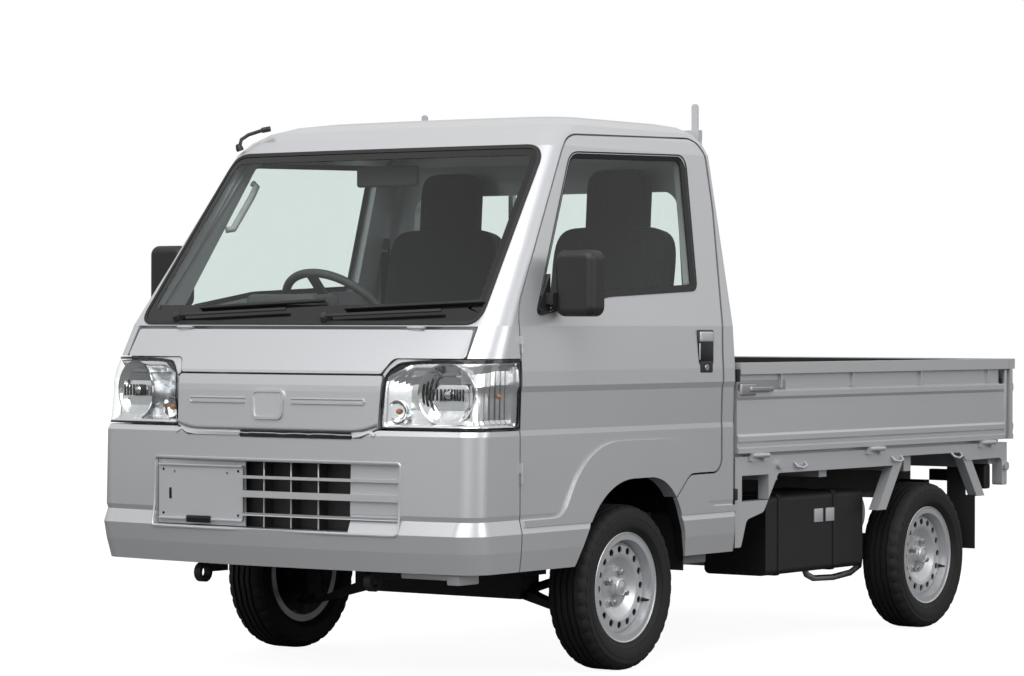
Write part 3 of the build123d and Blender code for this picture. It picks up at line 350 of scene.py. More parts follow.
def between(low, high, count):
    """Faces between two closed rows of points that start at low and at high."""
    return [[low + k, low + (k + 1) % count, high + (k + 1) % count, high + k] for k in range(count)]


def turned(profile, centre, axis, steps=48):
    """Solid of revolution: profile of (radius, distance along the axis)."""
    axis = Vector(axis).normalized()
    first = axis.orthogonal().normalized()
    second = axis.cross(first)
    verts, faces = [], []
    for radius, along in profile:
        for step in range(steps):
            angle = 2 * pi * step / steps
            verts.append(Vector(centre) + axis * along + (first * cos(angle) + second * sin(angle)) * radius)
    for row in range(len(profile) - 1):
        faces += between(row * steps, (row + 1) * steps, steps)
    if profile[0][0] > 1e-6:
        faces.append(list(range(steps)))
    if profile[-1][0] > 1e-6:
        faces.append([(len(profile) - 1) * steps + i for i in range(steps)])
    return verts, faces


def swept(path, section, closed=False, up=(0, 0, 1)):
    """Profile of (sideways, up) offsets carried along a path, as (points, faces)."""
    path = [Vector(p) for p in path]
    count, size = len(path), len(section)
    verts, faces = [], []
    for i, point in enumerate(path):
        before = path[i - 1] if i or closed else path[0]
        after = path[(i + 1) % count] if i < count - 1 or closed else path[-1]
        along = (after - before).normalized()
        top = up[i] if isinstance(up, list) else Vector(up)
        side = along.cross(top)
        if side.length < 1e-6:
            side = along.orthogonal()
        side.normalize()
        top = side.cross(along)
        verts.extend(point + side * u + top * v for u, v in section)
    for i in range(count if closed else count - 1):
        faces += between(i * size, (i + 1) % count * size, size)
    if not closed:
        faces.append(list(range(size)))
        faces.append([(count - 1) * size + k for k in range(size)])
    return verts, faces


def round_section(radius, steps=10):
    """Round profile for swept()."""
    return [(radius * cos(2 * pi * k / steps), radius * sin(2 * pi * k / steps)) for k in range(steps)]


def flat_section(width, height):
    """Rounded flat profile for swept()."""
    w, h, c = width / 2, height / 2, min(width, height) * 0.3
    right = [(w - c, h), (w, h - c), (w, -h + c), (w - c, -h)]
    return [(-w, -h + c), (-w, h - c), (-w + c, h), *right, (-w + c, -h)]


def pipe(points, radius, up=(0, 0, 1)):
    """Round bar through places in the truck, as (points, faces)."""
    return swept([at(*p) for p in points], round_section(radius), False, up)


def strap(points, width, height):
    """Flat bar through places in the truck, as (points, faces)."""
    return swept([at(*p) for p in points], flat_section(width, height), False, (0, 1, 0))


def rounded(corners, steps=7):
    """Closed outline with round corners from (u, v, radius), the same number of points at each corner."""
    points = []
    count = len(corners)
    for i, (u, v, radius) in enumerate(corners):
        here = Vector((u, v))
        before = Vector(corners[i - 1][:2]) - here
        after = Vector(corners[(i + 1) % count][:2]) - here
        reach = radius / max(tan(before.angle(after) / 2), 0.05)
        reach = min(reach, before.length * 0.49, after.length * 0.49)
        start = here + before.normalized() * reach
        end = here + after.normalized() * reach
        for k in range(steps + 1):
            t = k / steps
            points.append(start * (1 - t) ** 2 + here * 2 * t * (1 - t) + end * t * t)
    return points


def mirrored(corners):
    """Corners of one side and then their mirror images, as a closed outline."""
    return corners + [(-x, z, radius) for x, z, radius in reversed(corners)]


def refined(points, longest):
    """The same closed outline with long stretches divided."""
    result = []
    for i, point in enumerate(points):
        result.append(point)
        nxt = points[(i + 1) % len(points)]
        extra = int((nxt - point).length / longest)
        for k in range(1, extra + 1):
            result.append(point.lerp(nxt, k / (extra + 1)))
    return result


def outward(points):
    """Unit directions out of a closed outline at its points."""
    middle = sum((Vector(p) for p in points), Vector((0, 0))) / len(points)
    ways = []
    for i, point in enumerate(points):
        along = (points[(i + 1) % len(points)] - points[i - 1]).normalized()
        out = Vector((along.y, -along.x))
        ways.append(-out if out.dot(point - middle) < 0 else out)
    return ways


def tree_of(*names):
    """Surface of some solids, to lay trim on."""
    verts, faces = [], []
    for name in names:
        mesh = NODES[name].data
        base = len(verts)
        verts.extend(v.co.copy() for v in mesh.vertices)
        faces.extend([base + i for i in p.vertices] for p in mesh.polygons)
    return BVHTree.FromPolygons(verts, faces)


def cast(tree, origin, way, other, lift):
    """Lifted point that a ray meets, or else the one nearest to another place, and its way out."""
    place, normal, _, _ = tree.ray_cast(origin, way)
    if place is None:
        place, normal, _, _ = tree.find_nearest(other)
    if normal.dot(way) >= 0:
        normal = -normal
    return place + normal * lift, normal


def on_front(tree, x, z, lift=0.0):
    """Point of the surface seen from the front, and the way it faces."""
    return cast(tree, Vector((x, -4, z)), Vector((0, 1, 0)), at(x, 0, z), lift)


def on_side(tree, s, y, z, lift=0.0):
    """Point of the surface seen from one side, and the way it faces."""
    return cast(tree, at(s * 3, y, z), Vector((-s, 0, 0)), at(s * 0.735, y, z), lift)


def ring(outer, inner, thickness, normals):
    """Band between two closed outlines with the same count, as thick as asked, as (points, faces)."""
    count = len(outer)
    verts = list(outer) + list(inner)
    verts += [p - n * thickness for p, n in zip(outer, normals)]
    verts += [p - n * thickness for p, n in zip(inner, normals)]
    faces = []
    for low, high in ((0, 1), (2, 3), (0, 2), (1, 3)):
        faces += between(low * count, high * count, count)
    return verts, faces


# Finishes of the solids

FINISH_OF_SLOT = {"lamp": "lamp_cover", "tail_lamp": "red_lens"}
NODE_SLOT = {row["node"]: row["material_slot"] for row in frame["record"]["subparts"]}
for name, node in NODES.items():
    slot = NODE_SLOT.get(name, "body_paint")
    node.data.materials.clear()
    node.data.materials.append(MATERIALS[FINISH_OF_SLOT.get(slot, slot)])
    node.data.shade_smooth()
    node.data.set_sharp_from_angle(angle=radians(34))


def inner_dark(material_name, half_width, top):
    """Silver paint that turns near black inside a width and below a height."""
    material = metallic_paint(material_name, SILVER)
    tree = material.node_tree
    shader = tree.nodes["Principled BSDF"]
    split = new_node(tree, "SeparateXYZ", {0: object_place(tree)})
    narrow = maths(tree, "LESS_THAN", maths(tree, "ABSOLUTE", split.outputs["X"]), half_width)
    under = maths(tree, "LESS_THAN", split.outputs["Z"], top)
    tone = tree.nodes.new("ShaderNodeMix")
    tone.data_type = "RGBA"
    fill(tree, tone, {0: maths(tree, "MULTIPLY", narrow, under),
                      6: shader.inputs["Base Color"].links[0].from_socket, 7: (*LOW_INNER_BLACK, 1)})
    fill(tree, shader, {"Base Color": tone.outputs[2]})
    return material


INNER_DARK = (("cab_floor", 0.722, 0.7), ("cab_back", 0.722, 0.655), ("front_bumper", 0.55, 0.338))
for name, half_width, top in INNER_DARK:
    NODES[name].data.materials[0] = inner_dark(f"{name}_paint", half_width, top)


# Wheels

def make_tyre(wheel, x, y):
    """Tyre with four grooves, notched shoulders and raised sidewall rings."""
    s = 1 if x > 0 else -1
    bead = [(0.0495, 0.154, 0), (0.0495, 0.171, 0), (0.056, 0.1745, 0), (0.0635, 0.184, 0)]
    wall = [(0.0668, 0.1862, 0), (0.0672, 0.189, 0), (0.0695, 0.1896, 0), (0.0716, 0.2, 0),
            (0.0724, 0.206, 0), (0.0721, 0.215, 0), (0.0729, 0.2154, 0), (0.0729, 0.218, 0),
            (0.0718, 0.2184, 0), (0.0704, 0.234, 0)]
    shoulder = [(0.069, 0.2352, TREAD_NOTCH), (0.065, 0.244, TREAD_NOTCH),
                (0.056, 0.2516, TREAD_NOTCH), (0.046, 0.2546, TREAD_NOTCH)]
    tread = [(0.0378, 0.2556, 0), (0.0368, 0.249, 0), (0.0298, 0.249, 0), (0.0288, 0.256, 0),
             (0.0158, 0.256, 0), (0.015, 0.249, 0), (0.008, 0.249, 0), (0.007, 0.256, 0)]
    half = bead + wall + shoulder + tread
    rows = half + [(-along, radius, notch) for along, radius, notch in reversed(half)]
    verts, faces = [], []
    for along, radius, notch in rows:
        for step in range(TREAD_STEPS):
            angle = 2 * pi * step / TREAD_STEPS
            low = notch if step % 4 == 0 else 0.0
            weave = 0.0012 * sin(angle * TREAD_STEPS / 8) if abs(along) < 0.04 else 0.0
            verts.append(at(x + s * (along + weave), y + (radius - low) * sin(angle),
                            TYRE_RADIUS + (radius - low) * cos(angle)))
    for row in range(len(rows)):
        after = (row + 1) % len(rows)
        faces += between(row * TREAD_STEPS, after * TREAD_STEPS, TREAD_STEPS)
    tyre = add(f"tread_{wheel}", verts, faces, "tyre", f"wheel_{wheel}", 30)
    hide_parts(f"tyre_{wheel}")


def make_wheel_fittings(wheel, x, y):
    """Black disc inside the rim as painted shade behind its holes, nuts, hub cap, lip and valve."""
    s = 1 if x > 0 else -1
    centre = at(x, y, TYRE_RADIUS)
    axis = (s, 0, 0)
    body = f"wheel_{wheel}"
    # Black disc behind the rim's holes: painted shade.
    inside = turned([(0, -0.004), (0.1385, -0.004), (0.1385, -0.009), (0, -0.009)], centre, axis, 48)
    joined(f"rim_hole_shade_{wheel}", [inside], "frame_black", body)
    washer = [(0, 0.014), (0.0135, 0.014), (0.0125, 0.019), (0, 0.019)]
    hexagon = [(0, 0.017), (0.0105, 0.017), (0.0105, 0.031), (0.008, 0.034), (0, 0.034)]
    nuts = []
    for k in range(NUT_COUNT):
        angle = 2 * pi * k / NUT_COUNT + 0.4
        place = centre + Vector((0, sin(angle), cos(angle))) * NUT_CIRCLE
        nuts += [turned(washer, place, axis, 18), turned(hexagon, place, axis, 6)]
    joined(f"wheel_nuts_{wheel}", nuts, "bare_steel", body, 25)
    cap = [(0, 0.033), (0.027, 0.033), (0.029, 0.035), (0.0285, 0.039), (0.024, 0.0415),
           (0.0225, 0.04), (0.015, 0.0405), (0.006, 0.043), (0, 0.0435)]
    joined(f"hub_cap_{wheel}", [turned(cap, centre, axis, 40)], "wheel_steel", body, 35)
    lip = [(0.169, 0.052), (0.1712, 0.0528), (0.1716, 0.0556), (0.169, 0.0572), (0.1655, 0.056),
           (0.165, 0.053)]
    verts, faces = turned(lip, centre, axis, LIP_STEPS)
    closing = between((len(lip) - 1) * LIP_STEPS, 0, LIP_STEPS)
    joined(f"rim_lip_{wheel}", [(verts, faces[:-2] + closing)], "wheel_steel", body, 50)
    out = Vector((0, sin(1.9), cos(1.9)))
    stem = [(0, 0), (0.0055, 0), (0.005, 0.014), (0.0038, 0.016), (0.0038, 0.026), (0, 0.027)]
    foot = centre + out * 0.139 + Vector((s * 0.024, 0, 0))
    joined(f"valve_{wheel}", [turned(stem, foot, (s, out.y * 0.3, out.z * 0.3), 14)], "rubber", body)


# Front of the cab

def front_path(tree, points, lift):
    """Points on the front with the way the surface faces there."""
    hits = [on_front(tree, x, z, lift) for x, z in points]
    return [p for p, _ in hits], [n for _, n in hits]


def outline_ring(name, tree, points, width, material, lift, thickness):
    """Flat band of one width laid on the front inside an outline."""
    outer = refined(points, 0.04)
    inner = []
    for point, out in zip(outer, outward(outer)):
        inner.append(point - out * (width(point) if callable(width) else width))
    outer_points, normals = front_path(tree, outer, lift)
    inner_points, _ = front_path(tree, inner, lift)
    joined(name, [ring(outer_points, inner_points, thickness, normals)], material, smooth=35)


def front_patch(name, tree, outline, lift, material):
    """Plate laid on the front inside an outline."""
    middle = sum((Vector(p) for p in outline), Vector((0, 0))) / len(outline)
    count = len(outline)
    verts, faces = [], []
    for share in (1.0, 0.66, 0.33):
        for point in outline:
            place, _ = on_front(tree, *(middle + (point - middle) * share), lift)
            verts.append(place)
    verts.append(on_front(tree, middle.x, middle.y, lift)[0])
    for row in range(2):
        faces += between(row * count, (row + 1) * count, count)
    faces += [[2 * count + k, 2 * count + (k + 1) % count, 3 * count] for k in range(count)]
    top = len(verts)
    verts += [v + Vector((0, 0.004, 0)) for v in verts[:count]]
    faces += between(0, top, count)
    faces.append([top + k for k in range(count)])
    add(name, verts, faces, material, "chassis", 35)


def front_bar(tree, points, lift, width, height):
    """Flat bar along the front, as (points, faces)."""
    path, normals = front_path(tree, points, lift)
    return swept(path, flat_section(width, height), False, normals)


def line(start, end, count):
    """Evenly spaced points between two ends."""
    return [tuple(a + (b - a) * k / (count - 1) for a, b in zip(start, end)) for k in range(count)]


def make_windscreen():
    """Black border, rubber and wipers."""
    tree = tree_of("windscreen", "cab_roof", "pillar_left", "pillar_right", "cowl")
    edge = rounded(mirrored([(0.655, 1.0735, 0.045), (0.601, 1.6045, 0.06)]))

    def border(point):
        return 0.052 if point.y < 1.12 else 0.024

    outline_ring("windscreen_border", tree, edge, border, "gloss_black", 0.0012, 0.002)
    seal = rounded(mirrored([(0.664, 1.0655, 0.05), (0.609, 1.6125, 0.065)]))
    outline_ring("windscreen_rubber", tree, seal, 0.011, "rubber", 0.0035, 0.005)
    knob = [(0, -0.004), (0.019, -0.004), (0.017, 0.012), (0.011, 0.021), (0, 0.023)]
    arms, blades, pivots = [], [], []
    for pivot, reach in (((-0.5, 1.086), (-0.06, 1.104)), ((0.1, 1.084), (0.52, 1.1))):
        arms.append(front_bar(tree, line(pivot, reach, 12), 0.016, 0.011, 0.006))
        blade = line((reach[0] - 0.36, pivot[1] + 0.026), (reach[0] + 0.13, reach[1] + 0.03), 16)
        blades.append(front_bar(tree, blade, 0.006, 0.007, 0.01))
        blades.append(front_bar(tree, blade, 0.012, 0.01, 0.004))
        place, normal = on_front(tree, *pivot)
        pivots.append(turned(knob, place, normal, 24))
    joined("wiper_arms", arms + pivots, "black_plastic", smooth=35)
    joined("wiper_blades", blades, "rubber", smooth=35)


def make_garnish():
    """Bare badge place with its frame, two long facets, the slot under them and its trims, and a dark strip
    of painted shade under the garnish's lower edge.
    """
    tree = tree_of("front_garnish", "front_bumper", "front_lid", "grille_backing")
    plate = rounded([(0.037, 0.782, 0.022), (0.044, 0.872, 0.022),
                     (-0.084, 0.872, 0.022), (-0.077, 0.782, 0.022)])
    outline_ring("badge_frame", tree, plate, 0.008, "chrome", 0.006, 0.008)
    front_patch("badge_place", tree, plate, 0.0025, "bracket")
    grooves, facets = [], []
    for s, x0, x1 in ((1, 0.07, 0.333), (-1, -0.11, -0.333)):
        for z in (0.831, 0.845):
            facets.append(front_bar(tree, line((x0, z), (x1, z), 10), 0.0, 0.004, 0.009))
        grooves.append(front_bar(tree, line((x0, 0.838), (x1, 0.838), 10), 0.0006, 0.009, 0.002))
        end = [(x1, 0.829), (x1 + s * 0.004, 0.838), (x1, 0.847)]
        facets.append(front_bar(tree, end, 0.0, 0.005, 0.009))
    joined("garnish_facets", facets, "body_paint")
    joined("garnish_grooves", grooves, "bracket")
    left, right = SLOT_ENDS
    slot = front_bar(tree, line((left, SLOT_Z), (right, SLOT_Z), 20), 0.0012, 0.021, 0.003)
    joined("upper_slot", [slot], "gloss_black")
    bars = [front_bar(tree, line((left, 0.74), (right, 0.74), 20), 0.0018, 0.0032, 0.005)]
    for x in SLOT_UPRIGHTS:
        bars.append(front_bar(tree, [(x, 0.7285), (x, 0.7485)], 0.0008, 0.0028, 0.004))
    joined("upper_slot_bars", bars, "wheel_steel")
    slope = [(0.388, 0.7585), (0.362, 0.75), (0.336, 0.74)]
    right_trim = [(-x, z) for x, z in slope] + [(-0.3, 0.7375), (-0.2, 0.7375), (-0.122, 0.7375)]
    left_trim = slope + [(0.307, 0.7375)]
    trims = [front_bar(tree, points, 0.001, 0.0125, 0.005) for points in (right_trim, left_trim)]
    joined("slot_trims", trims, "wheel_steel", smooth=30)
    # Dark grey strip along the garnish's lower edge: painted shade of its overhang.
    under = [(-0.386, 0.772), (-0.362, 0.765), (-0.334, 0.756), (-0.3, 0.753)]
    under += line((-0.25, 0.753), (0.25, 0.753), 12) + [(-x, z) for x, z in reversed(under)]
    edge = front_bar(tree, under, 0.003, 0.0095, 0.01)
    joined("garnish_painted_shade_edge", [edge], "bed_shadow")


def around(tree, s, x, front, z, lift=0.0):
    """Point of the rounded corner of the cab on the way out through a place in plan."""
    hub = at(s * LAMP_HUB[0], LAMP_HUB[1], z)
    place = at(s * x, front, z)
    way = (place - hub).normalized()
    return cast(tree, hub + way * 2, -way, place, lift)


def lamp_gasket(tree, side, s):
    """Black line round the lamp's cover."""
    top = [(0.4035, 0.05, 0.902), (0.4065, 0.05, 0.916), (0.418, 0.05, 0.9335), (0.436, 0.05, 0.9485),
           (0.448, 0.052, 0.953), (0.49, 0.055, 0.9568), (0.54, 0.06, 0.959), (0.6, 0.07, 0.9602),
           (0.65, 0.085, 0.9605), (0.69, 0.11, 0.9605), (0.72, 0.14, 0.9605), (0.733, 0.18, 0.9605),
           (0.735, 0.23, 0.9605), (0.735, 0.281, 0.9605)]
    foot = [(0.731, 0.281), (0.731, 0.23), (0.728, 0.18), (0.718, 0.14), (0.69, 0.1), (0.65, 0.08),
            (0.6, 0.07), (0.54, 0.06), (0.46, 0.05)]
    rim = [(0.3955, 0.05, LAMP_FOOT_Z), (0.3995, 0.05, 0.84), *top, (0.735, 0.281, 0.86)]
    rim += [(x, y, LAMP_FOOT_Z) for x, y in foot]
    hits = [around(tree, s, x, y, z, 0.0008) for x, y, z in rim]
    path, normals = [p for p, _ in hits], [n for _, n in hits]
    gasket = swept(path, flat_section(0.007, 0.004), True, normals)
    joined(f"lamp_gasket_{side}", [gasket], "gloss_black")


def lamp_corner(tree, side, s):
    """Painted strip between the lid's notched corner and the lamp's round one."""
    lid = tree_of("front_lid")
    verts, faces = [], []
    for (lid_x, lid_z), (lamp_x, lamp_z) in LAMP_CORNER:
        near, _ = on_front(lid, s * (lid_x - 0.004), lid_z + 0.006)
        far, _ = on_front(tree, s * (lamp_x + 0.004), lamp_z - 0.004)
        share = LID_CLEARANCE / Vector((lamp_x - lid_x, lamp_z - lid_z)).length
        first_x = lid_x + (lamp_x - lid_x) * share
        first = Vector((s * first_x, near.y + 0.001, lid_z + (lamp_z - lid_z) * share))
        last = Vector((s * lamp_x, far.y + 0.001, lamp_z))
        back = Vector((0, 0.004, 0))
        verts += [first, last, last + back, first + back]
    for k in range(len(LAMP_CORNER) - 1):
        faces += between(4 * k, 4 * k + 4, 4)
    faces += [[0, 1, 2, 3], [len(verts) - 4 + i for i in range(4)]]
    add(f"lamp_corner_{side}", verts, faces, "body_paint", "chassis", 35)


def lamp_housing(tree, side, s):
    """Faceted bright shell behind the lamp's cover."""
    columns, rows = 44, 18
    verts, faces = [], []
    for i in range(columns + 1):
        u = i / columns
        angle = radians(-7.0 + 66.0 * u)
        for j in range(rows + 1):
            v = j / rows
            x, front = LAMP_HUB[0] + sin(angle), LAMP_HUB[1] - cos(angle)
            top = 0.908 + 0.046 * min(1.0, u / 0.18)
            place, normal = around(tree, s, x, front, 0.766 + (top - 0.766) * v)
            edge = min(u, 1 - u, v * 0.6, (1 - v) * 0.6)
            depth = 0.004 + 0.04 * min(1.0, edge / 0.16) ** 0.6
            depth = min(depth, 0.026) if u > LAMP_SIDE_SHARE else depth
            ripple = 0.003 * (i % 2) if u > LAMP_SIDE_SHARE else 0.002 * ((i + j) % 2)
            verts.append(place - normal * (depth + ripple))
    for i in range(columns):
        for j in range(rows):
            a = i * (rows + 1) + j
            faces.append([a, a + rows + 1, a + rows + 2, a + 1])
    housing = add(f"lamp_housing_{side}", verts, faces, "reflector", "chassis", 12)
    housing.modifiers.new("thick", "SOLIDIFY").thickness = 0.0015


def make_headlamp(side, s):
    """Gasket, corner strip, housing, round reflector with bulb and dark bars of painted reflection, and
    small side lamps.
    """
    tree = tree_of(f"headlamp_{side}")
    lamp_gasket(tree, side, s)
    lamp_corner(tree, side, s)
    lamp_housing(tree, side, s)

    tilt = radians(13)
    axis = Vector((s * sin(tilt), -cos(tilt), 0))
    centre = at(s * 0.6, 0.112, 0.862)
    bowl = [(0.0, -0.03), (0.018, -0.028), (0.036, -0.02), (0.056, -0.009), (0.074, 0.006),
            (0.087, 0.02), (0.092, 0.0215), (0.092, 0.018), (0.08, 0.004), (0.06, -0.013),
            (0.038, -0.024), (0.0, -0.034)]
    joined(f"lamp_bowl_{side}", [turned(bowl, centre, axis, 30)], "chrome", smooth=8)
    # Dark bars across the bowl: painted reflections in the chrome.
    cross = Vector((axis.y, -axis.x, 0)) * -s
    half = Vector((0.0024, 0.003, 0.017))
    reflection_bars = []
    for k in range(-5, 6):
        place = centre + cross * (k * 0.0108) + axis * (0.004 + 0.018 * abs(k) / 5)
        reflection_bars.append(block(place - half, place + half, 0.001, 1))
    joined(f"lamp_painted_reflection_bars_{side}", reflection_bars, "gloss_black")
    bulb = [(0, -0.028), (0.011, -0.028), (0.011, -0.004), (0.013, -0.003), (0.013, 0.01),
            (0.01, 0.015), (0, 0.016)]
    joined(f"lamp_bulb_{side}", [turned(bulb, centre, axis, 24)], "chrome", smooth=30)
    small = at(s * 0.44, 0.078, 0.812)
    cup = [(0.0, -0.016), (0.014, -0.013), (0.024, -0.004), (0.03, 0.008), (0.033, 0.009), (0.033, 0.005),
           (0.026, -0.008), (0.0, -0.02)]
    joined(f"small_lamp_cup_{side}", [turned(cup, small, FORWARD, 28)], "chrome", smooth=20)
    dome = [(0.0075, -0.014), (0.0085, -0.002), (0.007, 0.004), (0.0035, 0.0065), (0, 0.007)]
    joined(f"small_lamp_bulb_{side}", [turned(dome, small, FORWARD, 24)], "amber")
    place, normal = around(tree, s, 0.735, 0.2, 0.856, -0.014)
    dot = [(0, -0.006), (0.007, -0.006), (0.007, 0.001), (0.005, 0.003), (0, 0.004)]
    joined(f"side_reflector_{side}", [turned(dot, place, normal, 20)], "amber")


def make_plate_bracket():
    """Black discs and blocks as painted shade in the holes, slot and notch, folded edges of the bare plate
    bracket, and the sheet behind it.
    """
    hole = [(0, -0.0005), (0.0042, -0.0005), (0.0042, 0.0006), (0, 0.0006)]
    places = ((-0.437, 0.622), (-0.138, 0.622), (-0.437, 0.488), (-0.138, 0.488))
    # Black discs and blocks where the holes, slot and notch are: painted shade.
    dark = [turned(hole, at(x, BRACKET_Y, z), FORWARD, 14) for x, z in places]
    dark.append(block(at(-0.414, BRACKET_Y - 0.0008, 0.532), at(-0.404, BRACKET_Y + 0.001, 0.566)))
    dark.append(block(at(-0.34, BRACKET_Y - 0.0075, 0.462), at(-0.246, BRACKET_Y + 0.001, 0.484)))
    joined("bracket_hole_shade", dark, "gloss_black")
    folds = ((-0.455, -0.12, 0.634), (-0.455, -0.345, 0.47), (-0.243, -0.12, 0.47))
    folds = [((x0, BRACKET_Y - 0.006, z), (x1, BRACKET_Y + 0.002, z + 0.006), 0.002) for x0, x1, z in folds]
    blocks("bracket_folds", "bracket", *folds)
    blocks("bracket_backing", "body_paint", ((-0.468, 0.046, 0.4555), (-0.119, 0.052, 0.6535), 0.002))


def make_front_details():
    """Plate bracket, grille uprights, frame and blank bars, and the bracket under the bumper."""
    make_plate_bracket()
    uprights = [((x - 0.002, 0.036, 0.456), (x + 0.002, 0.05, 0.653), 0.001, 1) for x in GRILLE_UPRIGHTS]
    blocks("grille_uprights", "wheel_steel", *uprights)
    tree = tree_of("front_bumper")
    frame_line = rounded(mirrored([(0.474, 0.449, 0.014), (0.474, 0.66, 0.014)]))
    points, normals = [], []
    for p in refined(frame_line, 0.05):
        place, normal = on_front(tree, p.x * 1.004, p.y + (0.0008 if p.y > 0.55 else -0.0008), 0.001)
        place.y = max(place.y, 0.0036 - FRONT)
        points.append(place)
        normals.append(normal)
    ring_bar = swept(points, flat_section(0.007, 0.005), True, normals)
    joined("grille_frame", [ring_bar], "body_paint")
    rails = []
    for z, height in ((0.607, 0.007), (0.556, 0.015), (0.495, 0.007)):
        rails.append(front_bar(tree, line((0.3, z), (0.462, z), 8), 0.003, height, 0.008))
    joined("grille_blank_bars", rails, "body_paint")
    blocks("rocker_bracket", "bracket", ((0.6, 0.1, 0.306), (0.645, 0.2, 0.338), 0.005),
           ((0.42, 0.115, 0.318), (0.62, 0.15, 0.338), 0.005))


def make_aerial():
    """Folded aerial along the right windscreen pillar."""
    path = [(-0.612, 0.6, 1.64), (-0.615, 0.612, 1.664), (-0.6, 0.63, 1.68), (-0.56, 0.65, 1.694)]
    foot = [(0, 0), (0.012, 0), (0.012, 0.01), (0.008, 0.022), (0, 0.024)]
    parts = [pipe(path, 0.006), turned(foot, at(-0.612, 0.604, 1.628), (-0.3, -0.2, 1), 18),
             pipe([path[-1], (-0.535, 0.662, 1.699)], 0.009)]
    joined("aerial", parts, "black_plastic")


# Doors

def side_ring(name, tree, s, outline, grow, shrink, material, body, lift, thickness):
    """Band round an outline seen from the side."""
    points = refined(rounded(outline), 0.05)
    outer, inner, normals = [], [], []
    for point, out in zip(points, outward(points)):
        place, normal = on_side(tree, s, *(point + out * grow), lift)
        outer.append(place)
        normals.append(normal)
        inside, _ = on_side(tree, s, *(point - out * shrink), lift)
        inside.x = s * max(abs(inside.x), abs(place.x) - 0.01)
        inner.append(inside)
    joined(name, [ring(outer, inner, thickness, normals)], material, body, 35)


def make_handle(side, s, tree, body):
    """Black surround, lifting flap, base with the lock, and the bright rim."""
    base, _ = on_side(tree, s, 1.296, 0.98)
    x = abs(base.x)
    side_blocks(
        side, s, body,
        ("handle_surround", "gloss_black", ((x - 0.008, 1.25, 0.907), (x + 0.0025, 1.341, 1.052), 0.012, 3)),
        ("handle_flap", "bracket", ((x - 0.004, 1.257, 1.014), (x + 0.006, 1.334, 1.046), 0.008, 3)),
        ("handle_base", "black_plastic", ((x - 0.004, 1.257, 0.914), (x + 0.004, 1.334, 0.952), 0.008, 3)))
    lock = [(0, 0), (0.011, 0), (0.01, 0.003), (0.006, 0.0035), (0, 0.003)]
    key = turned(lock, at(s * (x + 0.0035), 1.296, 0.932), (s, 0, 0), 22)
    joined(f"door_key_{side}", [key], "bare_steel", body)
    rim = ((x - 0.004, 1.254, 0.956), (x + 0.0035, 1.262, 1.01), 0.003)
    side_blocks(side, s, body, ("handle_rim", "bracket", rim))


def make_mirror_face(side, s, body):
    """Glass and thin black rim on the rear of the mirror's housing."""
    low, high = (1.104, 1.278) if s > 0 else (1.134, 1.308)
    outer = rounded([(0.744, low, 0.022), (0.744, high, 0.022), (0.86, high, 0.03), (0.86, low, 0.03)])
    verts = [at(s * p.x, 0.5162, p.y) for p in outer] + [at(s * p.x, 0.5185, p.y) for p in outer]
    count = len(outer)
    faces = [list(range(count)), [count + k for k in range(count)]]
    faces += between(0, count, count)
    add(f"mirror_glass_{side}", verts, faces, "mirror_face", body, 30)
    edge = [at(s * p.x, 0.517, p.y) for p in outer]
    rim = swept(edge, flat_section(0.004, 0.004), True, (0, 1, 0))
    joined(f"mirror_rim_{side}", [rim], "gloss_black", body)


def make_door_trim(side, s):
    """Window rubber, handle, mirror glass and inner trim panel."""
    body = f"door_{side}"
    tree = tree_of(f"door_{side}", f"door_glass_{side}")
    outline = [(0.384, 1.098, 0.012), (0.676, 1.59, 0.07), (1.316, 1.604, 0.038), (1.276, 1.18, 0.03),
               (0.78, 1.158, 0.3)]
    side_ring(f"window_rubber_{side}", tree, s, outline, 0.006, 0.016, "rubber", body, 0.0025, 0.006)
    make_handle(side, s, tree, body)
    make_mirror_face(side, s, body)
    blocks(f"door_trim_{side}", "interior", ((0.668, 0.335, 0.705), (0.684, 1.365, 1.085), 0.01, 3),
           ((0.632, 0.8, 0.905), (0.672, 1.18, 0.945), 0.014, 3),
           ((0.655, 0.62, 0.96), (0.671, 0.74, 0.99), 0.006, 2), body=body, s=s)


# Cabin

def pad(name, place, size, lean, crown, channels, power=7.0):
    """Crowned cushion with sewn channels: x across, z out of its face, turned about x by an angle."""
    work = bmesh.new()
    bmesh.ops.create_cube(work, size=2)
    bmesh.ops.subdivide_edges(work, edges=work.edges[:], cuts=23, use_grid_fill=True)
    turn = Matrix.Rotation(radians(lean), 4, "X")
    for vert in work.verts:
        u, v, w = vert.co
        reach = max(abs(u), abs(v), abs(w))
        scale = reach / (abs(u) ** power + abs(v) ** power + abs(w) ** power) ** (1 / power)
        u, v, w = u * scale, v * scale, w * scale
        swell = crown * (1 - u * u) * (1 - v * v)
        groove = 0.0
        for across, middle, depth in channels:
            groove += depth * exp(-((u if across else v) - middle) ** 2 / 0.0012)
        rise = (swell - groove) if w > 0 else -0.2 * swell
        pinch = 1 - 0.02 * (abs(u) ** 8) * (1 - abs(v) ** 2)
        local = Vector((u * size[0] / 2 * pinch, v * size[1] / 2, w * size[2] / 2 + rise))
        vert.co = Vector(place) + turn @ local
    mesh = bpy.data.meshes.new(name)
    work.to_mesh(mesh)
    work.free()
    piece = bpy.data.objects.new(name, mesh)
    bpy.context.scene.collection.objects.link(piece)
    finished(piece, "seat", "chassis", 60)
    return piece


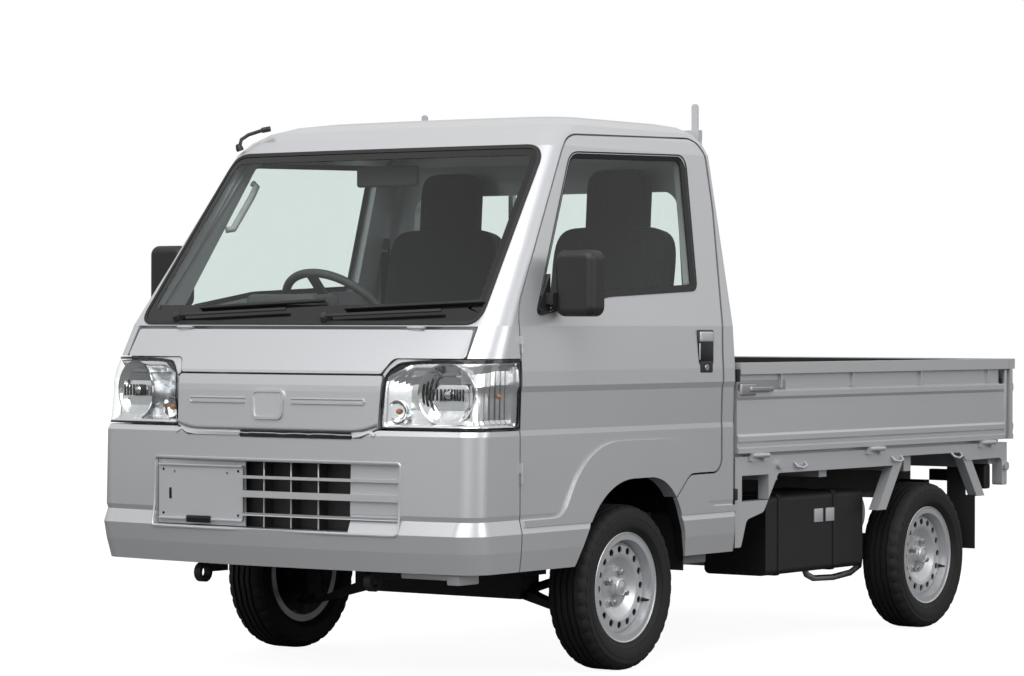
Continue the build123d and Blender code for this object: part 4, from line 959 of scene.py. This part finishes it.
def make_seat(side, s):
    """Cushion, backrest, head restraint, base and recliner in place of the plain seat, and the belt."""
    x = s * 0.34
    seams = ((True, -0.52, 0.006), (True, 0.52, 0.006), (False, 0.15, 0.004))
    back_seams = ((True, -0.55, 0.006), (True, 0.55, 0.006), (False, 0.45, 0.004))
    pieces = [
        pad(f"seat_cushion_{side}", at(x, 1.072, 0.788), (0.468, 0.476, 0.15), 4.0, 0.012, seams),
        pad(f"seat_back_{side}", at(x, 1.325, 1.085), (0.448, 0.6, 0.096), 81.0, 0.01, back_seams),
        pad(f"seat_head_{side}", at(x, 1.381, 1.43), (0.236, 0.285, 0.066), 86.0, 0.006,
            ((False, -0.45, 0.004),), 5.0),
        blocks(f"seat_base_{side}", "frame_black",
               ((0.152, 0.892, 0.661), (0.528, 1.288, 0.722), 0.008), s=s),
        blocks(f"seat_hinge_{side}", "interior", ((0.562, 1.235, 0.742), (0.574, 1.305, 0.862), 0.006), s=s)]
    for piece in pieces:
        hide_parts(f"seat_{side}")
    belt = [(s * 0.64, 1.408, 1.33), (s * 0.636, 1.4, 1.1),
            (s * 0.628, 1.392, 0.9), (s * 0.612, 1.38, 0.72)]
    joined(f"belt_{side}", [strap(belt, 0.0025, 0.046)], "rubber")
    side_blocks(side, s, "chassis",
                ("belt_guide", "interior", ((0.628, 1.385, 1.322), (0.652, 1.42, 1.362), 0.008)))


def make_cabin():
    """Headliner, rear panel, visors, mirror, grip, instruments, vents and gear lever."""
    blocks("headliner", "interior_light", ((-0.52, 0.73, 1.637), (0.52, 1.385, 1.65), 0.006))
    blocks("rear_panel", "interior", ((-0.6, 1.42, 0.7), (0.6, 1.433, 1.052), 0.006))
    blocks("sun_visors", "interior_light", ((0.06, 0.742, 1.612), (0.48, 0.89, 1.632), 0.008),
           ((-0.48, 0.742, 1.612), (-0.09, 0.89, 1.632), 0.008))
    mirror = block(at(-0.165, 0.64, 1.5), at(0.075, 0.662, 1.566), 0.014, 3)
    stay = pipe([(-0.045, 0.652, 1.56), (-0.045, 0.68, 1.6), (-0.045, 0.735, 1.645)], 0.007)
    joined("inside_mirror", [mirror, stay], "interior")
    blocks("inside_mirror_face", "mirror_face", ((-0.158, 0.6615, 1.506), (0.068, 0.6635, 1.56), 0.012, 3))
    grip = [(-0.6, 0.52, 1.37), (-0.588, 0.54, 1.372), (-0.582, 0.575, 1.42), (-0.576, 0.62, 1.48),
            (-0.574, 0.64, 1.512), (-0.59, 0.64, 1.522)]
    joined("assist_grip", [pipe(grip, 0.011, (1, 0, 0))], "interior_light")
    blocks("instrument_hood", "interior", ((-0.47, 0.455, 1.085), (-0.19, 0.6, 1.162), 0.026, 4))
    blocks("instrument_face", "gloss_black", ((-0.45, 0.596, 1.092), (-0.21, 0.6035, 1.15), 0.018, 3))
    places = (-0.56, 0.56, 0.05, 0.16)
    vents = [((x - 0.045, 0.585, 1.000), (x + 0.045, 0.6125, 1.05), 0.008, 2) for x in places]
    blocks("air_vents", "gloss_black", *vents)
    blocks("console_panel", "gloss_black", ((-0.02, 0.59, 0.905), (0.22, 0.6135, 0.985), 0.008, 2))
    lever = pipe([(0.0, 0.66, 0.6), (0.0, 0.7, 0.76), (0.0, 0.715, 0.83)], 0.008)
    knob = [(0, 0), (0.018, 0.004), (0.022, 0.02), (0.017, 0.038), (0, 0.043)]
    joined("gear_lever", [lever, turned(knob, at(0, 0.715, 0.825), (0, 0.1, 1), 20)], "black_plastic")
    blocks("tunnel_cover", "interior", ((-0.1, 0.56, 0.498), (0.1, 0.8, 0.62), 0.02, 3))


# Bed, underside and tail

def make_bed():
    """Gates' fittings with black sheets on their inner faces and a latch recess in painted shade, rubber
    stops, a sill bracket in painted shade grey, rope hooks and tailgate latches.
    """
    bent = ((0.716, -0.035, 0.612), (0.727, -0.03, 0.6), (0.73, 0, 0.594),
            (0.727, 0.03, 0.6), (0.716, 0.035, 0.612))
    for side, s in SIDES:
        side_blocks(
            side, s, f"gate_{side}",
            # Black sheets on the side gates' inner faces and under their top rails.
            ("gate_liner", "frame_black",
             ((GATE_INNER - 0.0022, 1.516, 0.668), (GATE_INNER + 0.001, 3.335, 0.904), 0.001, 1)),
            ("gate_rail_pad", "frame_black", ((0.6903, 1.516, 0.909), (0.6935, 3.335, 0.942), 0.001, 1)),
            ("gate_latch", "bare_steel", ((0.724, 1.56, 0.85), (0.7395, 1.7, 0.868), 0.005, 3),
             ((0.722, 1.505, 0.838), (0.7345, 1.6, 0.878), 0.008, 3)),
            # Mid grey block in the latch's recess: painted shade.
            ("gate_latch_recess", "bed_shadow", ((0.7195, 1.512, 0.828), (0.7225, 1.8, 0.888), 0.006, 2)),
            ("gate_pocket", "gloss_black", ((0.7195, 3.296, 0.846), (0.7235, 3.326, 0.905), 0.004, 2)),
            ("gate_end_bar", "bed_paint", ((0.7195, 3.329, 0.66), (0.73, 3.3425, 0.905), 0.003, 2)))
        side_blocks(
            side, s, "chassis",
            ("front_pad", "rubber", ((0.69, 1.486, 0.884), (0.735, 1.4995, 0.925), 0.004, 2)),
            ("bed_buffer", "rubber", ((0.69, 1.4795, 0.502), (0.728, 1.4985, 0.54), 0.005, 2)),
            # Bracket under the sill coloured mid grey: painted shade under the sill.
            ("sill_bracket", "bed_shadow", ((0.6, 1.236, 0.304), (0.655, 1.42, 0.338), 0.005, 2)))
        hooks = []
        for y in ROPE_HOOKS:
            hooks.append(pipe([(s * x, y + along, z) for x, along, z in bent], 0.0045, (1, 0, 0)))
        joined(f"rope_hooks_{side}", hooks, "bed_paint")
    # Black sheets on the tailgate's inner face and under its top rail.
    blocks("tailgate_inner_black", "frame_black",
           ((-0.69, TAILGATE_INNER - 0.0022, 0.668), (0.69, TAILGATE_INNER + 0.001, 0.904), 0.001, 1),
           body="tailgate")
    blocks("tailgate_rail_inner_black", "frame_black", ((-0.685, 3.3478, 0.909), (0.685, 3.351, 0.942), 0.001, 1),
           body="tailgate")
    latches = []
    for s in (1, -1):
        latches.append(((s * 0.64, 3.383, 0.842), (s * 0.715, 3.3935, 0.882), 0.006, 3))
        latches.append(((s * 0.56, 3.382, 0.852), (s * 0.65, 3.3945, 0.87), 0.005, 3))
    blocks("tailgate_latches", "bare_steel", *latches, body="tailgate")


def make_underside():
    """Plain plates, hoop pipe, straps and cover seen under the bed."""
    blocks("tank_plates", "bracket", ((0.64, 2.118, 0.4), (0.6455, 2.175, 0.446), 0.004),
           ((0.64, 2.195, 0.4), (0.6455, 2.25, 0.446), 0.004))
    hoop = [(0.56, 2.19, 0.24), (0.562, 2.205, 0.215), (0.562, 2.25, 0.2), (0.562, 2.38, 0.196),
            (0.562, 2.5, 0.205), (0.562, 2.56, 0.226), (0.545, 2.6, 0.262), (0.47, 2.62, 0.3),
            (0.35, 2.625, 0.32), (0.235, 2.625, 0.33)]
    joined("hoop_pipe", [pipe(hoop, 0.011)], "bare_steel")
    band = ((0.4, 0.502), (0.63, 0.502), (0.642, 0.486), (0.642, 0.25), (0.628, 0.2335), (0.412, 0.2335))
    bands = [strap([(x, y, z) for x, z in band], 0.003, 0.026) for y in (1.9, 2.26)]
    joined("tank_bands", bands, "frame_black", smooth=30)
    blocks("battery_cover", "black_plastic", ((-0.628, 1.812, 0.404), (-0.402, 2.088, 0.508), 0.012, 3))


def make_tail(side, s):
    """Rear lamp: housing with red, amber and clear fields, and a reflector beside it."""
    pieces = [blocks(f"tail_housing_{side}", "black_plastic",
                     ((0.52, 3.318, 0.468), (0.655, 3.358, 0.56), 0.008, 3), s=s)]
    lenses = (("red_lens", 0.524, 0.57), ("amber_lens", 0.572, 0.612), ("white_lens", 0.614, 0.651))
    for lens, x0, x1 in lenses:
        box = ((x0, 3.34, 0.473), (x1, 3.366, 0.555), 0.006, 3)
        pieces.append(blocks(f"tail_{lens}_{side}", lens, box, s=s))
    for piece in pieces:
        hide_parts("tail_lamps")
    side_blocks(
        side, s, "chassis",
        ("rear_reflector", "red_lens", ((0.43, 3.3515, 0.5), (0.49, 3.3575, 0.53), 0.004, 2)),
        ("reflector_stay", "frame_black", ((0.42, 3.32, 0.494), (0.525, 3.352, 0.536), 0.003, 2)))


# Camera, light and floor

def make_camera():
    """Camera at the photograph's place."""
    camera = bpy.data.objects.new("camera", bpy.data.cameras.new("camera"))
    bpy.context.scene.collection.objects.link(camera)
    yaw, pitch = radians(CAMERA_YAW), radians(CAMERA_PITCH)
    ahead = Vector((-sin(yaw) * cos(pitch), cos(yaw) * cos(pitch), sin(pitch)))
    level = Vector((cos(yaw), sin(yaw), 0))
    upright = level.cross(ahead)
    right = level * cos(CAMERA_ROLL) + upright * sin(CAMERA_ROLL)
    up = upright * cos(CAMERA_ROLL) - level * sin(CAMERA_ROLL)
    turn = Matrix((right, up, -ahead)).transposed().to_4x4()
    camera.matrix_world = Matrix.Translation(CAMERA_PLACE) @ turn
    camera.data.sensor_width = 36
    camera.data.lens = CAMERA_LENS
    camera.data.clip_end = 200
    bpy.context.scene.camera = camera


def make_light(name, place, target, size, power):
    """Large soft lamp."""
    lamp = bpy.data.lights.new(name, "AREA")
    lamp.shape = "RECTANGLE"
    lamp.size, lamp.size_y = size
    lamp.energy = power
    holder = bpy.data.objects.new(name, lamp)
    bpy.context.scene.collection.objects.link(holder)
    holder.location = place
    holder.rotation_euler = (Vector(target) - Vector(place)).to_track_quat("-Z", "Y").to_euler()


def make_world():
    """Surround that lights more from above and looks white to the camera and through glass."""
    world = bpy.data.worlds.new("studio")
    bpy.context.scene.world = world
    world.use_nodes = True
    tree = world.node_tree
    place = tree.nodes.new("ShaderNodeTexCoord").outputs["Generated"]
    split = new_node(tree, "SeparateXYZ", {0: place})
    height = new_node(tree, "MapRange", {"From Min": -0.02, "From Max": 0.28, "To Min": 0.14, "To Max": 0.8,
                                         "Value": split.outputs["Z"]})
    back = tree.nodes["Background"]
    fill(tree, back, {"Color": height.outputs["Result"], "Strength": 0.85})
    seen = new_node(tree, "Background", {"Color": (1, 1, 1, 1)})
    ray = tree.nodes.new("ShaderNodeLightPath").outputs
    direct = maths(tree, "MAXIMUM", ray["Is Camera Ray"], ray["Is Transmission Ray"])
    mirrored = maths(tree, "MULTIPLY", ray["Is Glossy Ray"], MIRRORED_WHITE)
    share = maths(tree, "MAXIMUM", direct, mirrored)
    mix = new_node(tree, "MixShader", {0: share, 1: back.outputs[0], 2: seen.outputs[0]})
    fill(tree, tree.nodes["World Output"], {"Surface": mix.outputs[0]})


def make_stage():
    """Pale floor, pale surround and soft lamps."""
    make_world()
    mesh = bpy.data.meshes.new("floor")
    corners = [(-1, -1), (1, -1), (1, 1), (-1, 1)]
    mesh.from_pydata([(x * FLOOR_REACH, y * FLOOR_REACH, 0) for x, y in corners], [], [(0, 1, 2, 3)])
    floor = bpy.data.objects.new("floor", mesh)
    bpy.context.scene.collection.objects.link(floor)
    material, tree, shader = new_material("studio_floor")
    tone = ramp(tree, noise(tree, 2, 3), (0.13, 0.13, 0.132), (0.14, 0.14, 0.142))
    fill(tree, shader, {"Base Color": tone, "Roughness": 0.9})
    ray = tree.nodes.new("ShaderNodeLightPath").outputs
    glow = maths(tree, "MULTIPLY", ray["Is Camera Ray"], FLOOR_GLOW)
    light = new_node(tree, "Emission", {"Color": (1, 1, 1, 1), "Strength": glow})
    total = new_node(tree, "AddShader", {0: shader.outputs[0], 1: light.outputs[0]})
    fill(tree, tree.nodes["Material Output"], {"Surface": total.outputs[0]})
    mesh.materials.append(material)
    for lamp in LAMPS:
        make_light(*lamp)


make_camera()
make_stage()
for wheel, wheel_x, wheel_y in WHEELS:
    make_tyre(wheel, wheel_x, wheel_y)
    make_wheel_fittings(wheel, wheel_x, wheel_y)
make_windscreen()
make_garnish()
make_front_details()
make_aerial()
make_cabin()
make_bed()
make_underside()
for side_name, side_sign in SIDES:
    make_headlamp(side_name, side_sign)
    make_door_trim(side_name, side_sign)
    make_seat(side_name, side_sign)
    make_tail(side_name, side_sign)
bpy.context.scene.view_settings.view_transform = "Standard"
